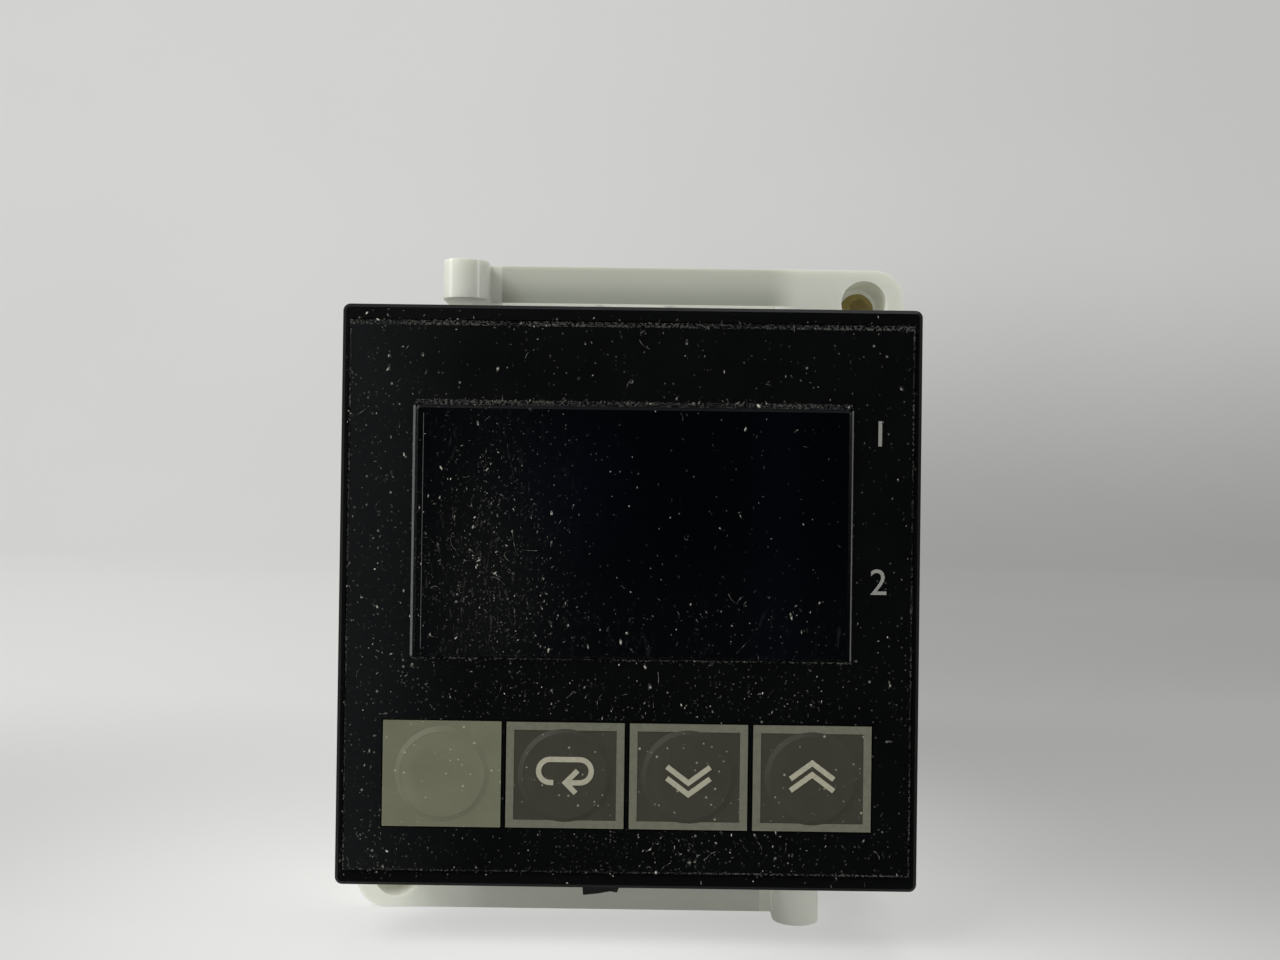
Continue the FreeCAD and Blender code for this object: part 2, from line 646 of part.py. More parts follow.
def transformer_core():
    """Two E-shaped ferrite halves, closed round the winding: a frame with a middle limb."""
    half = CORE_LONG / 2
    foot = SIDE_BOARD_FACE
    low = -CORE_WIDE / 2
    frame = block(foot, foot + CORE_TALL, TRANSFORMER_Y - half, TRANSFORMER_Y + half, low, -low)
    windows = [
        block(
            foot + CORE_LIMB / 2,
            foot + CORE_TALL - CORE_LIMB / 2,
            y0,
            y0 + half - CORE_LIMB,
            low,
            -low,
        )
        for y0 in (TRANSFORMER_Y - half + CORE_LIMB / 2, TRANSFORMER_Y + CORE_LIMB / 2)
    ]
    return frame.cut(windows)


def bobbin_sleeve(x0, x1):
    """Outside of the sleeve round the core's middle limb."""
    wide = CORE_LIMB / 2 + PLUG_GAP + BOBBIN_CHEEK
    tall = CORE_WIDE / 2 + PLUG_GAP + BOBBIN_CHEEK
    return block(x0, x1, TRANSFORMER_Y - wide, TRANSFORMER_Y + wide, -tall, tall)


def transformer_bobbin():
    """Two cheeks and a sleeve round the core's middle limb."""
    inner = CORE_LIMB / 2 + PLUG_GAP
    outer = CORE_LONG / 2 - CORE_LIMB / 2 - PLUG_GAP
    foot = SIDE_BOARD_FACE + CORE_LIMB / 2 + PLUG_GAP
    top = SIDE_BOARD_FACE + CORE_TALL - CORE_LIMB / 2 - PLUG_GAP
    low = -WINDING_WIDE / 2
    cheeks = [
        block(x, x + BOBBIN_CHEEK, TRANSFORMER_Y - outer, TRANSFORMER_Y + outer, low, -low)
        for x in (foot, top - BOBBIN_CHEEK)
    ]
    bore_tall = CORE_WIDE / 2 + PLUG_GAP
    bore = block(foot, top, TRANSFORMER_Y - inner, TRANSFORMER_Y + inner, -bore_tall, bore_tall)
    sleeve = bobbin_sleeve(foot, top)
    return joined(*cheeks, sleeve).cut(bore)


def transformer_winding():
    """Taped winding between the bobbin's cheeks."""
    wall = CORE_LIMB / 2 + PLUG_GAP + BOBBIN_CHEEK
    outer = CORE_LONG / 2 - CORE_LIMB / 2 - 3 * PLUG_GAP
    foot = SIDE_BOARD_FACE + CORE_LIMB / 2 + PLUG_GAP + BOBBIN_CHEEK
    top = SIDE_BOARD_FACE + CORE_TALL - CORE_LIMB / 2 - PLUG_GAP - BOBBIN_CHEEK
    tall = WINDING_WIDE / 2 - PLUG_GAP
    coil = block(foot, top, TRANSFORMER_Y - outer, TRANSFORMER_Y + outer, -tall, tall)
    coil = round_edges(coil, V(1, 0, 0), outer - wall)
    return coil.cut(bobbin_sleeve(foot, top))


def capacitor(radius, tall, z):
    """Round capacitor standing on the power board's outer face."""
    foot = SIDE_BOARD_FACE
    points = [(0, 0), (radius, 0), (radius, tall - CAP_EDGE), (radius - CAP_EDGE, tall), (0, tall)]
    outline = Part.makePolygon([V(foot + h, CAPACITOR_Y + r, z) for r, h in [*points, points[0]]])
    return Part.Face(outline).revolve(V(foot, CAPACITOR_Y, z), V(1, 0, 0), 360)


def board_spacer():
    """Moulded spacer that holds the two long boards apart."""
    x = SIDE_BOARD_INNER
    y0 = SPACER_Y - SPACER_LONG / 2
    y1 = SPACER_Y + SPACER_LONG / 2
    half = SPACER_HEIGHT / 2
    pads = [block(-x, -x + SPACER_PAD, y0, y1, -half, half), block(x - SPACER_PAD, x, y0, y1, -half, half)]
    web = block(-x, x, SPACER_Y - SPACER_WEB / 2, SPACER_Y + SPACER_WEB / 2, -half, half)
    return joined(*pads, web)


# ---------------------------------------------------------------- rear case
def rear_case():
    """Square tube with the panel flange, racks, vents, board guides and latch catches."""
    flange = plate(FACE, FACE, FLANGE_Y, -PACKING_DEPTH, corner=FACE_CORNER)
    tube = plate(BODY, BODY, -PACKING_DEPTH, CASE_REAR, corner=CASE_EDGE)
    bay = plate(BAY, BAY, FLANGE_Y, CASE_REAR)
    shell = joined(flange, tube).cut(bay)
    shell = joined(shell, *board_guides())
    return shell.cut(rack_notches() + vents() + catches() + snap_windows())


def board_guides():
    """Pairs of ribs on the case's floor and ceiling that guide the long boards."""
    inner = PCB / 2 + BOARD_GAP
    top = BAY / 2
    start = SKIRT_END_Y + GUIDE_SET_BACK
    end = FINGER_Y - GUIDE_END_GAP
    ribs = []
    for side in (-1, 1):
        x = side * SIDE_BOARD_X
        for x0 in (x - inner - GUIDE_RIB, x + inner):
            rib = block(x0, x0 + GUIDE_RIB, start, end, top - GUIDE_DROP, top)
            ribs += both(rib, mirrored_z)
    return ribs


def rack_notches():
    """Sawtooth notches in the top and bottom faces, steep on the side that faces the front unit."""
    crest = BODY / 2
    cuts = []
    for i in range(RACK_TEETH):
        y = RACK_START + i * RACK_PITCH
        notch = profile_yz(
            [(y, crest), (y + RACK_PITCH, crest), (y + RACK_PITCH, crest - RACK_DEPTH)],
            -RACK_WIDTH / 2,
            RACK_WIDTH / 2,
        )
        cuts += both(notch, mirrored_z)
    return cuts


def vents():
    """Slots through the top, bottom and side walls, for the air round the boards."""
    cuts = []
    for i in range(VENT_COUNT):
        x = VENT_FIRST_X + i * VENT_PITCH
        slot = block(
            x - VENT_WIDTH / 2, x + VENT_WIDTH / 2, VENT_Y, VENT_Y + VENT_LENGTH, BAY / 2, BODY / 2
        )
        for part in both(slot, mirrored_x):
            cuts += both(part, mirrored_z)
    for i in range(SIDE_VENT_COUNT):
        z = (i - (SIDE_VENT_COUNT - 1) / 2) * SIDE_VENT_PITCH
        slot = block(
            BAY / 2, BODY / 2, VENT_Y, VENT_Y + SIDE_VENT_LENGTH, z - VENT_WIDTH / 2, z + VENT_WIDTH / 2
        )
        cuts += both(slot, mirrored_x)
    return cuts


def catches():
    """Blind grooves inside the case's top and bottom walls for the barbs of the latch tongues."""
    end = SKIRT_END_Y + PLUG_GAP
    half = TONGUE_WIDTH / 2 + PLUG_GAP
    groove = block(-half, half, end - CATCH_LENGTH, end, BAY / 2, BAY / 2 + CATCH_DEPTH)
    return both(groove, mirrored_z)


def snap_windows():
    """Windows in the side walls for the terminal block's snap bumps."""
    y = CASE_REAR - SPIGOT_DEPTH / 2
    reach_y = SNAP_LENGTH / 2 + PLUG_GAP
    reach_z = SNAP_WIDTH / 2 + PLUG_GAP
    window = block(BAY / 2, BODY / 2, y - reach_y, y + reach_y, SNAP_Z - reach_z, SNAP_Z + reach_z)
    cuts = []
    for part in both(window, mirrored_x):
        cuts += both(part, mirrored_z)
    return cuts


def panel_packing():
    """Flat rubber packing behind the flange, with a torn lip below."""
    size = FACE - 2 * PACKING_MARGIN
    ring = plate(size, size, -PACKING_DEPTH, 0, corner=FACE_CORNER)
    edge = -size / 2 + FACE_CORNER
    lip = extruded([V(x, -PACKING_DEPTH, edge - drop) for x, drop in LIP], V(0, PACKING_DEPTH, 0))
    hole = plate(BODY + 2 * PLUG_GAP, BODY + 2 * PLUG_GAP, -PACKING_DEPTH, 0, corner=CASE_EDGE)
    return joined(ring, lip).cut(hole)


# ---------------------------------------------------------------- terminal block
def terminals():
    """The fifteen terminals as (column, x, seat, z), with column -1, 0 or 1."""
    return [
        (column, column * COLUMN_X, LOW_SEAT if column else HIGH_SEAT, z)
        for column in (-1, 0, 1)
        for z in ROW_Z
    ]


def terminal_block():
    """Stepped block of fifteen cells between full-width ribs, with a spigot that plugs into the case."""
    half = BODY / 2
    base = plate(BODY, BODY, CASE_REAR, LOW_SEAT, corner=CASE_EDGE)
    step = block(-STEP_HALF, STEP_HALF, LOW_SEAT, HIGH_SEAT, -half, half)
    outline = [
        (-half, LOW_SEAT - CASE_EDGE),
        (half, LOW_SEAT - CASE_EDGE),
        (half, BODY_DEPTH - RIB_CORNER),
        (half - RIB_CORNER, BODY_DEPTH),
        (-half + RIB_CORNER, BODY_DEPTH),
        (-half, BODY_DEPTH - RIB_CORNER),
    ]
    ribs = [profile_xy(outline, -half + i * ROW_PITCH, -half + i * ROW_PITCH + RIB) for i in range(ROWS + 1)]
    spigot = plate(SKIRT, SKIRT, CASE_REAR - SPIGOT_DEPTH, CASE_REAR)
    hollow = plate(
        SKIRT - 2 * SPIGOT_WALL, SKIRT - 2 * SPIGOT_WALL, CASE_REAR - SPIGOT_DEPTH, CASE_REAR
    )
    pockets = [
        plate(SCREW_POCKET, SCREW_POCKET, seat + SEAT_THICK - SCREW_LENGTH, seat, x, z)
        for _, x, seat, z in terminals()
    ]
    body = joined(base, step, spigot, *ribs, *snap_bumps())
    return body.cut([hollow, *pockets, *leg_slots()])


def snap_bumps():
    """Wedge-shaped bumps on the spigot's sides."""
    y = CASE_REAR - SPIGOT_DEPTH / 2
    reach = SKIRT / 2
    bump = profile_xy(
        [
            (reach - SPIGOT_WALL, y - SNAP_LENGTH / 2),
            (reach, y - SNAP_LENGTH / 2),
            (reach + SNAP_HEIGHT, y + SNAP_LENGTH / 2),
            (reach - SPIGOT_WALL, y + SNAP_LENGTH / 2),
        ],
        SNAP_Z - SNAP_WIDTH / 2,
        SNAP_Z + SNAP_WIDTH / 2,
    )
    bumps = []
    for part in both(bump, mirrored_x):
        bumps += both(part, mirrored_z)
    return bumps


def leg_x(column):
    """Where a terminal's leg goes down: at the edge of its seat that faces the board it feeds."""
    edge = SEAT_WIDTH / 2 - LEG_THICK / 2
    return -edge if column == 0 else column * (COLUMN_X - edge)


def leg_slots():
    """Slots through the block for the terminals' legs."""
    cuts = []
    for column, _, seat, z in terminals():
        x = leg_x(column)
        half_x = LEG_THICK / 2 + LEG_SLOT_GAP
        half_z = LEG_WIDTH / 2 + LEG_SLOT_GAP
        cuts.append(block(x - half_x, x + half_x, CASE_REAR, seat, z - half_z, z + half_z))
    return cuts


def terminal_plate(column, x, seat, z):
    """Stamped plate on a seat, with a leg whose sprung finger bears on a long board's rear contact."""
    top = plate(SEAT_WIDTH, SEAT_HEIGHT, seat, seat + SEAT_THICK, x, z)
    hole = rod(SCREW_RADIUS + SEAT_HOLE_GAP, seat, seat + SEAT_THICK, x, z)
    leg = leg_x(column)
    if column == 0:
        contact = -SIDE_BOARD_INNER + CONTACT_GAP + LEG_THICK / 2
        flare = contact + FINGER_FLARE
    else:
        contact = column * (SIDE_BOARD_FACE + CONTACT_GAP + LEG_THICK / 2)
        flare = contact + column * FINGER_FLARE
    path = [
        (leg, seat + SEAT_THICK / 2),
        (leg, CASE_REAR - LEG_BEND),
        (contact, CASE_REAR - CONTACT_REACH),
        (flare, FINGER_Y),
    ]
    finger = strip(path, LEG_THICK, z - LEG_WIDTH / 2, z + LEG_WIDTH / 2)
    return joined(top.cut(hole), finger)


def terminal_plates(wanted):
    """The five plates of one column."""
    return Part.makeCompound([terminal_plate(*t) for t in terminals() if t[0] == wanted])


def terminal_washers():
    """Square clamp washers under the terminal screws."""
    made = []
    for _, x, seat, z in terminals():
        y = seat + SEAT_THICK
        washer = plate(WASHER, WASHER, y, y + WASHER_THICK, x, z)
        made.append(washer.cut(rod(SCREW_RADIUS + WASHER_HOLE_GAP, y, y + WASHER_THICK, x, z)))
    return Part.makeCompound(made)


def headed(y_under, radius, length, head, high, x, z):
    """Plain screw blank whose head's underside is at y_under and whose shank points forwards."""
    end = y_under - length
    top = y_under + high
    return turned([(0, end), (radius, end), (radius, y_under), (head, y_under), (head, top), (0, top)], x, z)


def terminal_screws():
    """The fifteen terminal screws."""
    screws = []
    for _, x, seat, z in terminals():
        under = seat + SEAT_THICK + WASHER_THICK
        screws.append(headed(under, SCREW_RADIUS, SCREW_LENGTH, SCREW_HEAD, SCREW_HEAD_HIGH, x, z))
    return Part.makeCompound(screws)


# ---------------------------------------------------------------- mounting adapter
def clamp_block():
    """Block at the upper right corner that the clamp screw is threaded through."""
    low = RING_BAY / 2
    right = RING / 2
    body = block(BLOCK_X, right, SPRING_Y, SPRING_Y + BLOCK_DEPTH, low, SPAN_HALF)
    corner = [
        e
        for e in body.Edges
        if runs_along(e, V(0, 1, 0)) and e.BoundBox.XMin > right - 1e-6 and e.BoundBox.ZMin > SPAN_HALF - 1e-6
    ]
    return body.makeFillet(BLOCK_CORNER, corner)


def clamp_hole():
    """Pocket and screw hole through the clamp block."""
    pocket_end = SPRING_Y + POCKET_DEPTH
    pocket = rod(POCKET_RADIUS, SPRING_Y, pocket_end, CLAMP_X, CLAMP_Z)
    hole = rod(CLAMP_RADIUS + CLAMP_GAP, pocket_end, SPRING_Y + BLOCK_DEPTH, CLAMP_X, CLAMP_Z)
    return [pocket, hole]


def leaf_spring():
    """Leaf spring from the clamp block along the top, ending in a rounded nose towards the panel."""
    low = SPAN_HALF - SPRING_WIDTH
    leaf = block(NOSE_X, BLOCK_X, SPRING_Y, SPRING_Y + SPRING_THICK, low, SPAN_HALF)
    left = NOSE_X - NOSE_RADIUS
    right = NOSE_X + NOSE_RADIUS
    foot = block(left, right + SPRING_FOOT_REACH, SPRING_Y, SPRING_Y + SPRING_FOOT, low, SPAN_HALF)
    shoulder = NOSE_GAP + NOSE_RADIUS
    crown = Part.Arc(V(left, shoulder, low), V(NOSE_X, NOSE_GAP, low), V(right, shoulder, low))
    base_y = SPRING_Y + SPRING_THICK
    outline = Part.Wire(
        [
            crown.toShape(),
            Part.makeLine(V(right, shoulder, low), V(right, base_y, low)),
            Part.makeLine(V(right, base_y, low), V(left, base_y, low)),
            Part.makeLine(V(left, base_y, low), V(left, shoulder, low)),
        ]
    )
    nose = Part.Face(outline).extrude(V(0, 0, SPRING_WIDTH))
    return [leaf, foot, nose]


def pawl_cuts():
    """Slits that free a pawl in the ring's top wall, and the relief under it."""
    start = RING_START + PAWL_ROOT
    edge = PAWL_WIDTH / 2
    low = RING_BAY / 2
    slit = block(edge, edge + PAWL_SLIT, start, RING_END, low, RING / 2)
    relief = block(-edge, edge, start, RING_END, low, RING / 2 - PAWL_THICK)
    return [*both(slit, mirrored_x), relief]


def pawl():
    """Teeth and release tab of the upper pawl."""
    edge = PAWL_WIDTH / 2
    under = RING / 2 - PAWL_THICK
    tip = BODY / 2 + PAWL_LIFT
    first = RING_END - PAWL_TEETH * RACK_PITCH
    teeth = [
        profile_yz(
            [
                (first + i * RACK_PITCH, under),
                (first + (i + 1) * RACK_PITCH, tip),
                (first + (i + 1) * RACK_PITCH, under),
            ],
            -edge,
            edge,
        )
        for i in range(PAWL_TEETH)
    ]
    top = RING / 2
    tab = profile_yz(
        [
            (RING_END - PAWL_THICK, under),
            (RING_END, under),
            (RING_END + PAWL_TAIL, under + TAIL_RISE),
            (RING_END + PAWL_TAIL, top + TAIL_RISE),
            (RING_END, top),
            (RING_END - PAWL_THICK, top),
        ],
        -edge,
        edge,
    )
    return [*teeth, tab]


def adapter_frame():
    """Moulded adapter: ring, two clamp blocks, two leaf springs and two pawls, alike at a half turn."""
    ring = plate(RING, RING, RING_START, RING_END, corner=RING_CORNER)
    bay = plate(RING_BAY, RING_BAY, RING_START, RING_END)
    upper = [clamp_block(), *leaf_spring(), *pawl()]
    cuts = [*clamp_hole(), *pawl_cuts()]
    lower_cuts = [half_turn(cut) for cut in cuts]
    frame = joined(ring.cut(bay), clamp_block(), half_turn(clamp_block()))
    frame = frame.cut(cuts + lower_cuts)
    added = upper[1:]
    return joined(frame, *added, *[half_turn(piece) for piece in added])


def clamp_screw():
    """Upper clamp screw, with its end set back in the pocket of the clamp block."""
    under = SPRING_Y + CLAMP_SET_BACK + CLAMP_LENGTH
    top = under + CLAMP_HEAD_HIGH
    blank = headed(under, CLAMP_RADIUS, CLAMP_LENGTH, CLAMP_HEAD, CLAMP_HEAD_HIGH, CLAMP_X, CLAMP_Z)
    rim = [e for e in blank.Edges if e.BoundBox.YMin > top - 1e-6]
    tip = [e for e in blank.Edges if e.BoundBox.YMax < under - CLAMP_LENGTH + 1e-6]
    shaped = blank.makeChamfer(HEAD_EDGE, rim).makeChamfer(CLAMP_END_CHAMFER, tip)
    return shaped.cut(cross_recess(top, RECESS_DEPTH, RECESS_REACH, RECESS_WIDTH, CLAMP_X, CLAMP_Z))


# ---------------------------------------------------------------- all pieces
def build():
    """Every piece by name."""
    made = {
        "front_bezel": front_bezel(),
        "front_sheet": front_sheet(),
        "display_window": display_window(),
        "display_glass": display_glass(),
        "display_holder": display_holder(),
        "light_guide": light_guide(),
        "display_board": display_board(),
        "control_board": side_board(-1),
        "power_board": side_board(1),
        "control_board_socket": board_socket(-1),
        "power_board_socket": board_socket(1),
        "processor_chip": processor_chip(),
        "output_relay": relay(RELAY_Z),
        "alarm_relay": relay(-RELAY_Z),
        "transformer_core": transformer_core(),
        "transformer_bobbin": transformer_bobbin(),
        "transformer_winding": transformer_winding(),
        "mains_capacitor": capacitor(MAINS_CAP_RADIUS, MAINS_CAP_TALL, MAINS_CAP_Z),
        "output_capacitor": capacitor(OUTPUT_CAP_RADIUS, OUTPUT_CAP_TALL, OUTPUT_CAP_Z),
        "board_spacer": board_spacer(),
        "rear_case": rear_case(),
        "panel_packing": panel_packing(),
        "terminal_block": terminal_block(),
        "left_terminal_plates": terminal_plates(-1),
        "middle_terminal_plates": terminal_plates(0),
        "right_terminal_plates": terminal_plates(1),
        "terminal_washers": terminal_washers(),
        "terminal_screws": terminal_screws(),
        "adapter_frame": adapter_frame(),
        "upper_clamp_screw": clamp_screw(),
        "lower_clamp_screw": half_turn(clamp_screw()),
    }
    for name, x in zip(KEY_NAMES, KEY_X):
        made[f"{name}_key"] = key_cap(x)
        made[f"{name}_plunger"] = key_plunger(x)
        made[f"{name}_switch_stem"] = switch_stem(x)
        made[f"{name}_switch"] = key_switch(x)
    return made


os.makedirs("parts", exist_ok=True)
for node, shape in build().items():
    assert shape.isValid(), node
    shape.exportStep(f"parts/{node}.step")
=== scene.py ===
"""Looks of a panel-mounted temperature controller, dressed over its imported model.

Lengths in the classes below are millimetres, in the part's own frame: +X to the right as seen from the
front, +Y into the panel, +Z up. They are turned into metres where a mesh, lamp or camera is made.
"""

import logging
import math
from dataclasses import dataclass
from enum import Enum
from typing import Any, Callable, Mapping, Sequence

import bmesh
import bpy
import numpy as np
from mathutils import Matrix, Vector

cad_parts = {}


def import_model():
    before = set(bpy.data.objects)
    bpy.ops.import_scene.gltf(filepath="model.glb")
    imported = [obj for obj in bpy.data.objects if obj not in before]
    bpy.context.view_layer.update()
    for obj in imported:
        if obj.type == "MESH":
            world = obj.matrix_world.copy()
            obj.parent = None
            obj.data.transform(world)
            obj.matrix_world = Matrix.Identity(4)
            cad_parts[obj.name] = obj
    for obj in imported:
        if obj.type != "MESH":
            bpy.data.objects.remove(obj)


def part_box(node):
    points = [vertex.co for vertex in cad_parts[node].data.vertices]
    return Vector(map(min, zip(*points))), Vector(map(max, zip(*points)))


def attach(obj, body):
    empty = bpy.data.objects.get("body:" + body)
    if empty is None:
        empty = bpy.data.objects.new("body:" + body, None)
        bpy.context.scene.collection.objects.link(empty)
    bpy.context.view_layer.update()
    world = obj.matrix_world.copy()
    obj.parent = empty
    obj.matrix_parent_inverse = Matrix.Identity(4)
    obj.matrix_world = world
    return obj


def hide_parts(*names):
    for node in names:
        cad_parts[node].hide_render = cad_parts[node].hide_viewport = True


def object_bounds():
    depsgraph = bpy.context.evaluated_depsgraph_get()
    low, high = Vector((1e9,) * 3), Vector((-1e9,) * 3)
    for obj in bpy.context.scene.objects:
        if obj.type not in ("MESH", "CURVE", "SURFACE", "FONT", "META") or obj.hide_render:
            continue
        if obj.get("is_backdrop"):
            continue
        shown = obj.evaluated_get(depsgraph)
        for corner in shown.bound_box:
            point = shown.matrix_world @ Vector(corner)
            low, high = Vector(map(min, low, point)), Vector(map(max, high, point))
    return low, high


MM = 0.001
LOG = logging.getLogger("scene")
Colour = tuple[float, float, float]


def shade(red: float, green: float, blue: float) -> Colour:
    """Linear colour of a display colour.

    Args:
        red: Display value of red, 0 to 255.
        green: Display value of green, 0 to 255.
        blue: Display value of blue, 0 to 255.

    Returns:
        The three linear values, 0 to 1.
    """
    parts = (value / 255 for value in (red, green, blue))
    return tuple(v / 12.92 if v <= 0.04045 else ((v + 0.055) / 1.055) ** 2.4 for v in parts)


# ---------------------------------------------------------------- shader arithmetic
def by_node(operation: str, reflected: bool = False) -> Callable[["Value", "Term"], "Value"]:
    """A method of Value that puts it and another term through one Math node.

    Args:
        operation: The node's operation.
        reflected: Whether the other term comes first.

    Returns:
        The method.
    """

    def method(value: "Value", other: "Term") -> "Value":
        """The result of the node."""
        terms = (other, value) if reflected else (value, other)
        return value.sheet.maths(operation, *terms)

    return method


class Value:
    """An output socket that takes part in ordinary arithmetic."""

    def __init__(self, sheet: "Sheet", socket: bpy.types.NodeSocket) -> None:
        """Keeps the sheet that new nodes go on, and the socket itself."""
        self.sheet = sheet
        self.socket = socket

    __add__ = by_node("ADD")
    __radd__ = by_node("ADD", reflected=True)
    __sub__ = by_node("SUBTRACT")
    __rsub__ = by_node("SUBTRACT", reflected=True)
    __mul__ = by_node("MULTIPLY")
    __rmul__ = by_node("MULTIPLY", reflected=True)
    __truediv__ = by_node("DIVIDE")
    __pow__ = by_node("POWER")
    __gt__ = by_node("GREATER_THAN")
    __lt__ = by_node("LESS_THAN")
    most = by_node("MAXIMUM")
    least = by_node("MINIMUM")

    def __abs__(self) -> "Value":
        """This without its sign."""
        return self.sheet.maths("ABSOLUTE", self)

    def fraction(self) -> "Value":
        """What is left of this above its whole number."""
        return self.sheet.maths("FRACT", self)

    def rise(self, low: float, high: float) -> "Value":
        """A smooth step from nothing at low to one at high, where low may be the larger."""
        start, end = (low, high) if low < high else (high, low)
        step = self.sheet.node(
            "ShaderNodeMapRange",
            {"interpolation_type": "SMOOTHSTEP"},
            {"Value": self, "From Min": start, "From Max": end},
        )
        return step if low < high else 1 - step

    def bell(self, centre: float, width: float) -> "Value":
        """A hump of height one at centre that falls off within about width."""
        away = (self - centre) / width
        return self.sheet.maths("EXPONENT", away * away * -1.0)


Term = Value | float | Colour
WIDE_SOCKETS = ("VECTOR", "RGBA")


class Sheet:
    """The node sheet of one material, with its Principled surface."""

    def __init__(self, name: str) -> None:
        """Makes an empty material of that name."""
        self.material = bpy.data.materials.new(name)
        self.material.use_nodes = True
        self.tree = self.material.node_tree
        self.surface = self.tree.nodes["Principled BSDF"]

    @staticmethod
    def _socket(sockets: Any, key: str | int) -> bpy.types.NodeSocket:
        """The socket of that number, identifier or name."""
        if isinstance(key, int):
            return sockets[key]
        named = [s for s in sockets if s.identifier == key] or [s for s in sockets if s.name == key]
        return named[0]

    @staticmethod
    def tones(colour: Colour, *shares: float) -> tuple[Colour, ...]:
        """The colour made darker or paler, once for each share of it."""
        return tuple(tuple(part * share for part in colour) for share in shares)

    def feed(self, socket: bpy.types.NodeSocket, value: Term) -> None:
        """Links a value to an input socket, or sets it there if it is a number or a colour."""
        if isinstance(value, Value):
            self.tree.links.new(value.socket, socket)
        elif socket.type == "RGBA":
            socket.default_value = (*value, 1.0)
        elif socket.type == "VECTOR" and isinstance(value, (int, float)):
            socket.default_value = (value, value, value)
        else:
            socket.default_value = value

    def node(
        self,
        kind: str,
        settings: Mapping[str, Any] | None = None,
        inputs: Mapping[str | int, Term] | None = None,
        output: str | int = 0,
    ) -> Value:
        """Adds one node.

        Args:
            kind: Type name of the node.
            settings: Its properties, set first.
            inputs: Values or links of its input sockets.
            output: The output socket wanted.

        Returns:
            That output socket, ready for arithmetic.
        """
        made = self.tree.nodes.new(kind)
        for key, value in (settings or {}).items():
            setattr(made, key, value)
        for key, value in (inputs or {}).items():
            self.feed(self._socket(made.inputs, key), value)
        return Value(self, self._socket(made.outputs, output))

    def maths(self, operation: str, *terms: Term) -> Value:
        """A Math node on numbers, or a Vector Math node where a term is a colour or a vector."""
        wide = any(
            isinstance(term, tuple) or (isinstance(term, Value) and term.socket.type in WIDE_SOCKETS)
            for term in terms
        )
        kind = "ShaderNodeVectorMath" if wide else "ShaderNodeMath"
        return self.node(kind, {"operation": operation}, dict(enumerate(terms)))

    def place(self) -> Value:
        """The point on the piece, in millimetres."""
        return self.node("ShaderNodeTexCoord", output="Object") * (1 / MM)

    def parts(self, vector: Value) -> tuple[Value, Value, Value]:
        """The three parts of a vector."""
        first = self.node("ShaderNodeSeparateXYZ", inputs={0: vector})
        outputs = first.socket.node.outputs
        return first, Value(self, outputs[1]), Value(self, outputs[2])

    def noise(self, place: Value, pitch: float, detail: float = 2.0, stretch: float = 0.0) -> Value:
        """Soft noise from 0 to 1 with lumps about one pitch across; stretch bends its lumps."""
        return self.node(
            "ShaderNodeTexNoise",
            inputs={"Vector": place, "Scale": 1 / pitch, "Detail": detail, "Distortion": stretch},
        )

    def specks(self, place: Value, pitch: float, size: float, share: Term) -> Value:
        """Separate specks, one at most in each cell of a random lattice.

        Args:
            place: The point on the piece, in millimetres.
            pitch: Width of a cell, in millimetres.
            size: Radius of a speck, as a share of a cell.
            share: Share of the cells that hold a speck.

        Returns:
            Height of the specks, from 0 to 1.
        """
        inputs = {"Vector": place, "Scale": 1 / pitch}
        away = self.node("ShaderNodeTexVoronoi", inputs=inputs, output="Distance")
        drawn = self.node("ShaderNodeTexVoronoi", inputs=inputs, output="Color")
        lot, bright, _ = self.parts(drawn)
        return away.rise(size, size * 0.4) * (lot < share) * (0.25 + bright * 0.75)

    def blend(self, factor: Term, first: Term, second: Term) -> Value:
        """The first colour where the factor is nothing, and the second where it is one."""
        return self.node(
            "ShaderNodeMix",
            {"data_type": "RGBA", "clamp_factor": True},
            {"Factor_Float": factor, "A_Color": first, "B_Color": second},
            "Result_Color",
        )

    def relief(self, height: Value, depth: float, strength: float) -> Value:
        """A bump of that depth in millimetres."""
        inputs = {"Height": height, "Distance": depth * MM, "Strength": strength}
        return self.node("ShaderNodeBump", inputs=inputs)

    def finish(self, **inputs: Term) -> bpy.types.Material:
        """Feeds the surface's sockets, named with _ for a space, and returns the material."""
        for key, value in inputs.items():
            self.feed(self.surface.inputs[key.replace("_", " ")], value)
        return self.material


# ---------------------------------------------------------------- finishes
class Finish:
    """A surface finish that can make its material."""

    def material(self, name: str) -> bpy.types.Material:
        """Makes the material under that name."""
        sheet = Sheet(name)
        return self.paint(sheet, sheet.place())

    def paint(self, sheet: Sheet, place: Value) -> bpy.types.Material:
        """Feeds the sheet, where place is the point on the piece in millimetres."""
        raise NotImplementedError


@dataclass(frozen=True)
class MouldedPlastic(Finish):
    """Opaque moulded plastic with a spark-eroded grain and a little dust in it."""

    colour: Colour
    rough: float = 0.5
    grain: float = 0.35
    depth: float = 0.012
    dust: float = 0.04
    shine: float = 0.5

    def paint(self, sheet: Sheet, place: Value) -> bpy.types.Material:
        """Colour with faint clouds, a fine grain, and pale specks."""
        clouds = sheet.noise(place, 9.0, 3.0)
        grain = sheet.noise(place, self.grain, 3.0)
        specks = sheet.specks(place, 0.9, 0.16, self.dust)
        deep, pale = sheet.tones(self.colour, 0.8, 1.25)
        colour = sheet.blend(specks * 0.5, sheet.blend(clouds, deep, pale), SPECK_COLOUR)
        return sheet.finish(
            Base_Color=colour,
            Roughness=self.rough + (clouds - 0.5) * 0.16 + specks * 0.3,
            Specular_IOR_Level=self.shine,
            Normal=sheet.relief(grain, self.depth, 0.8),
        )


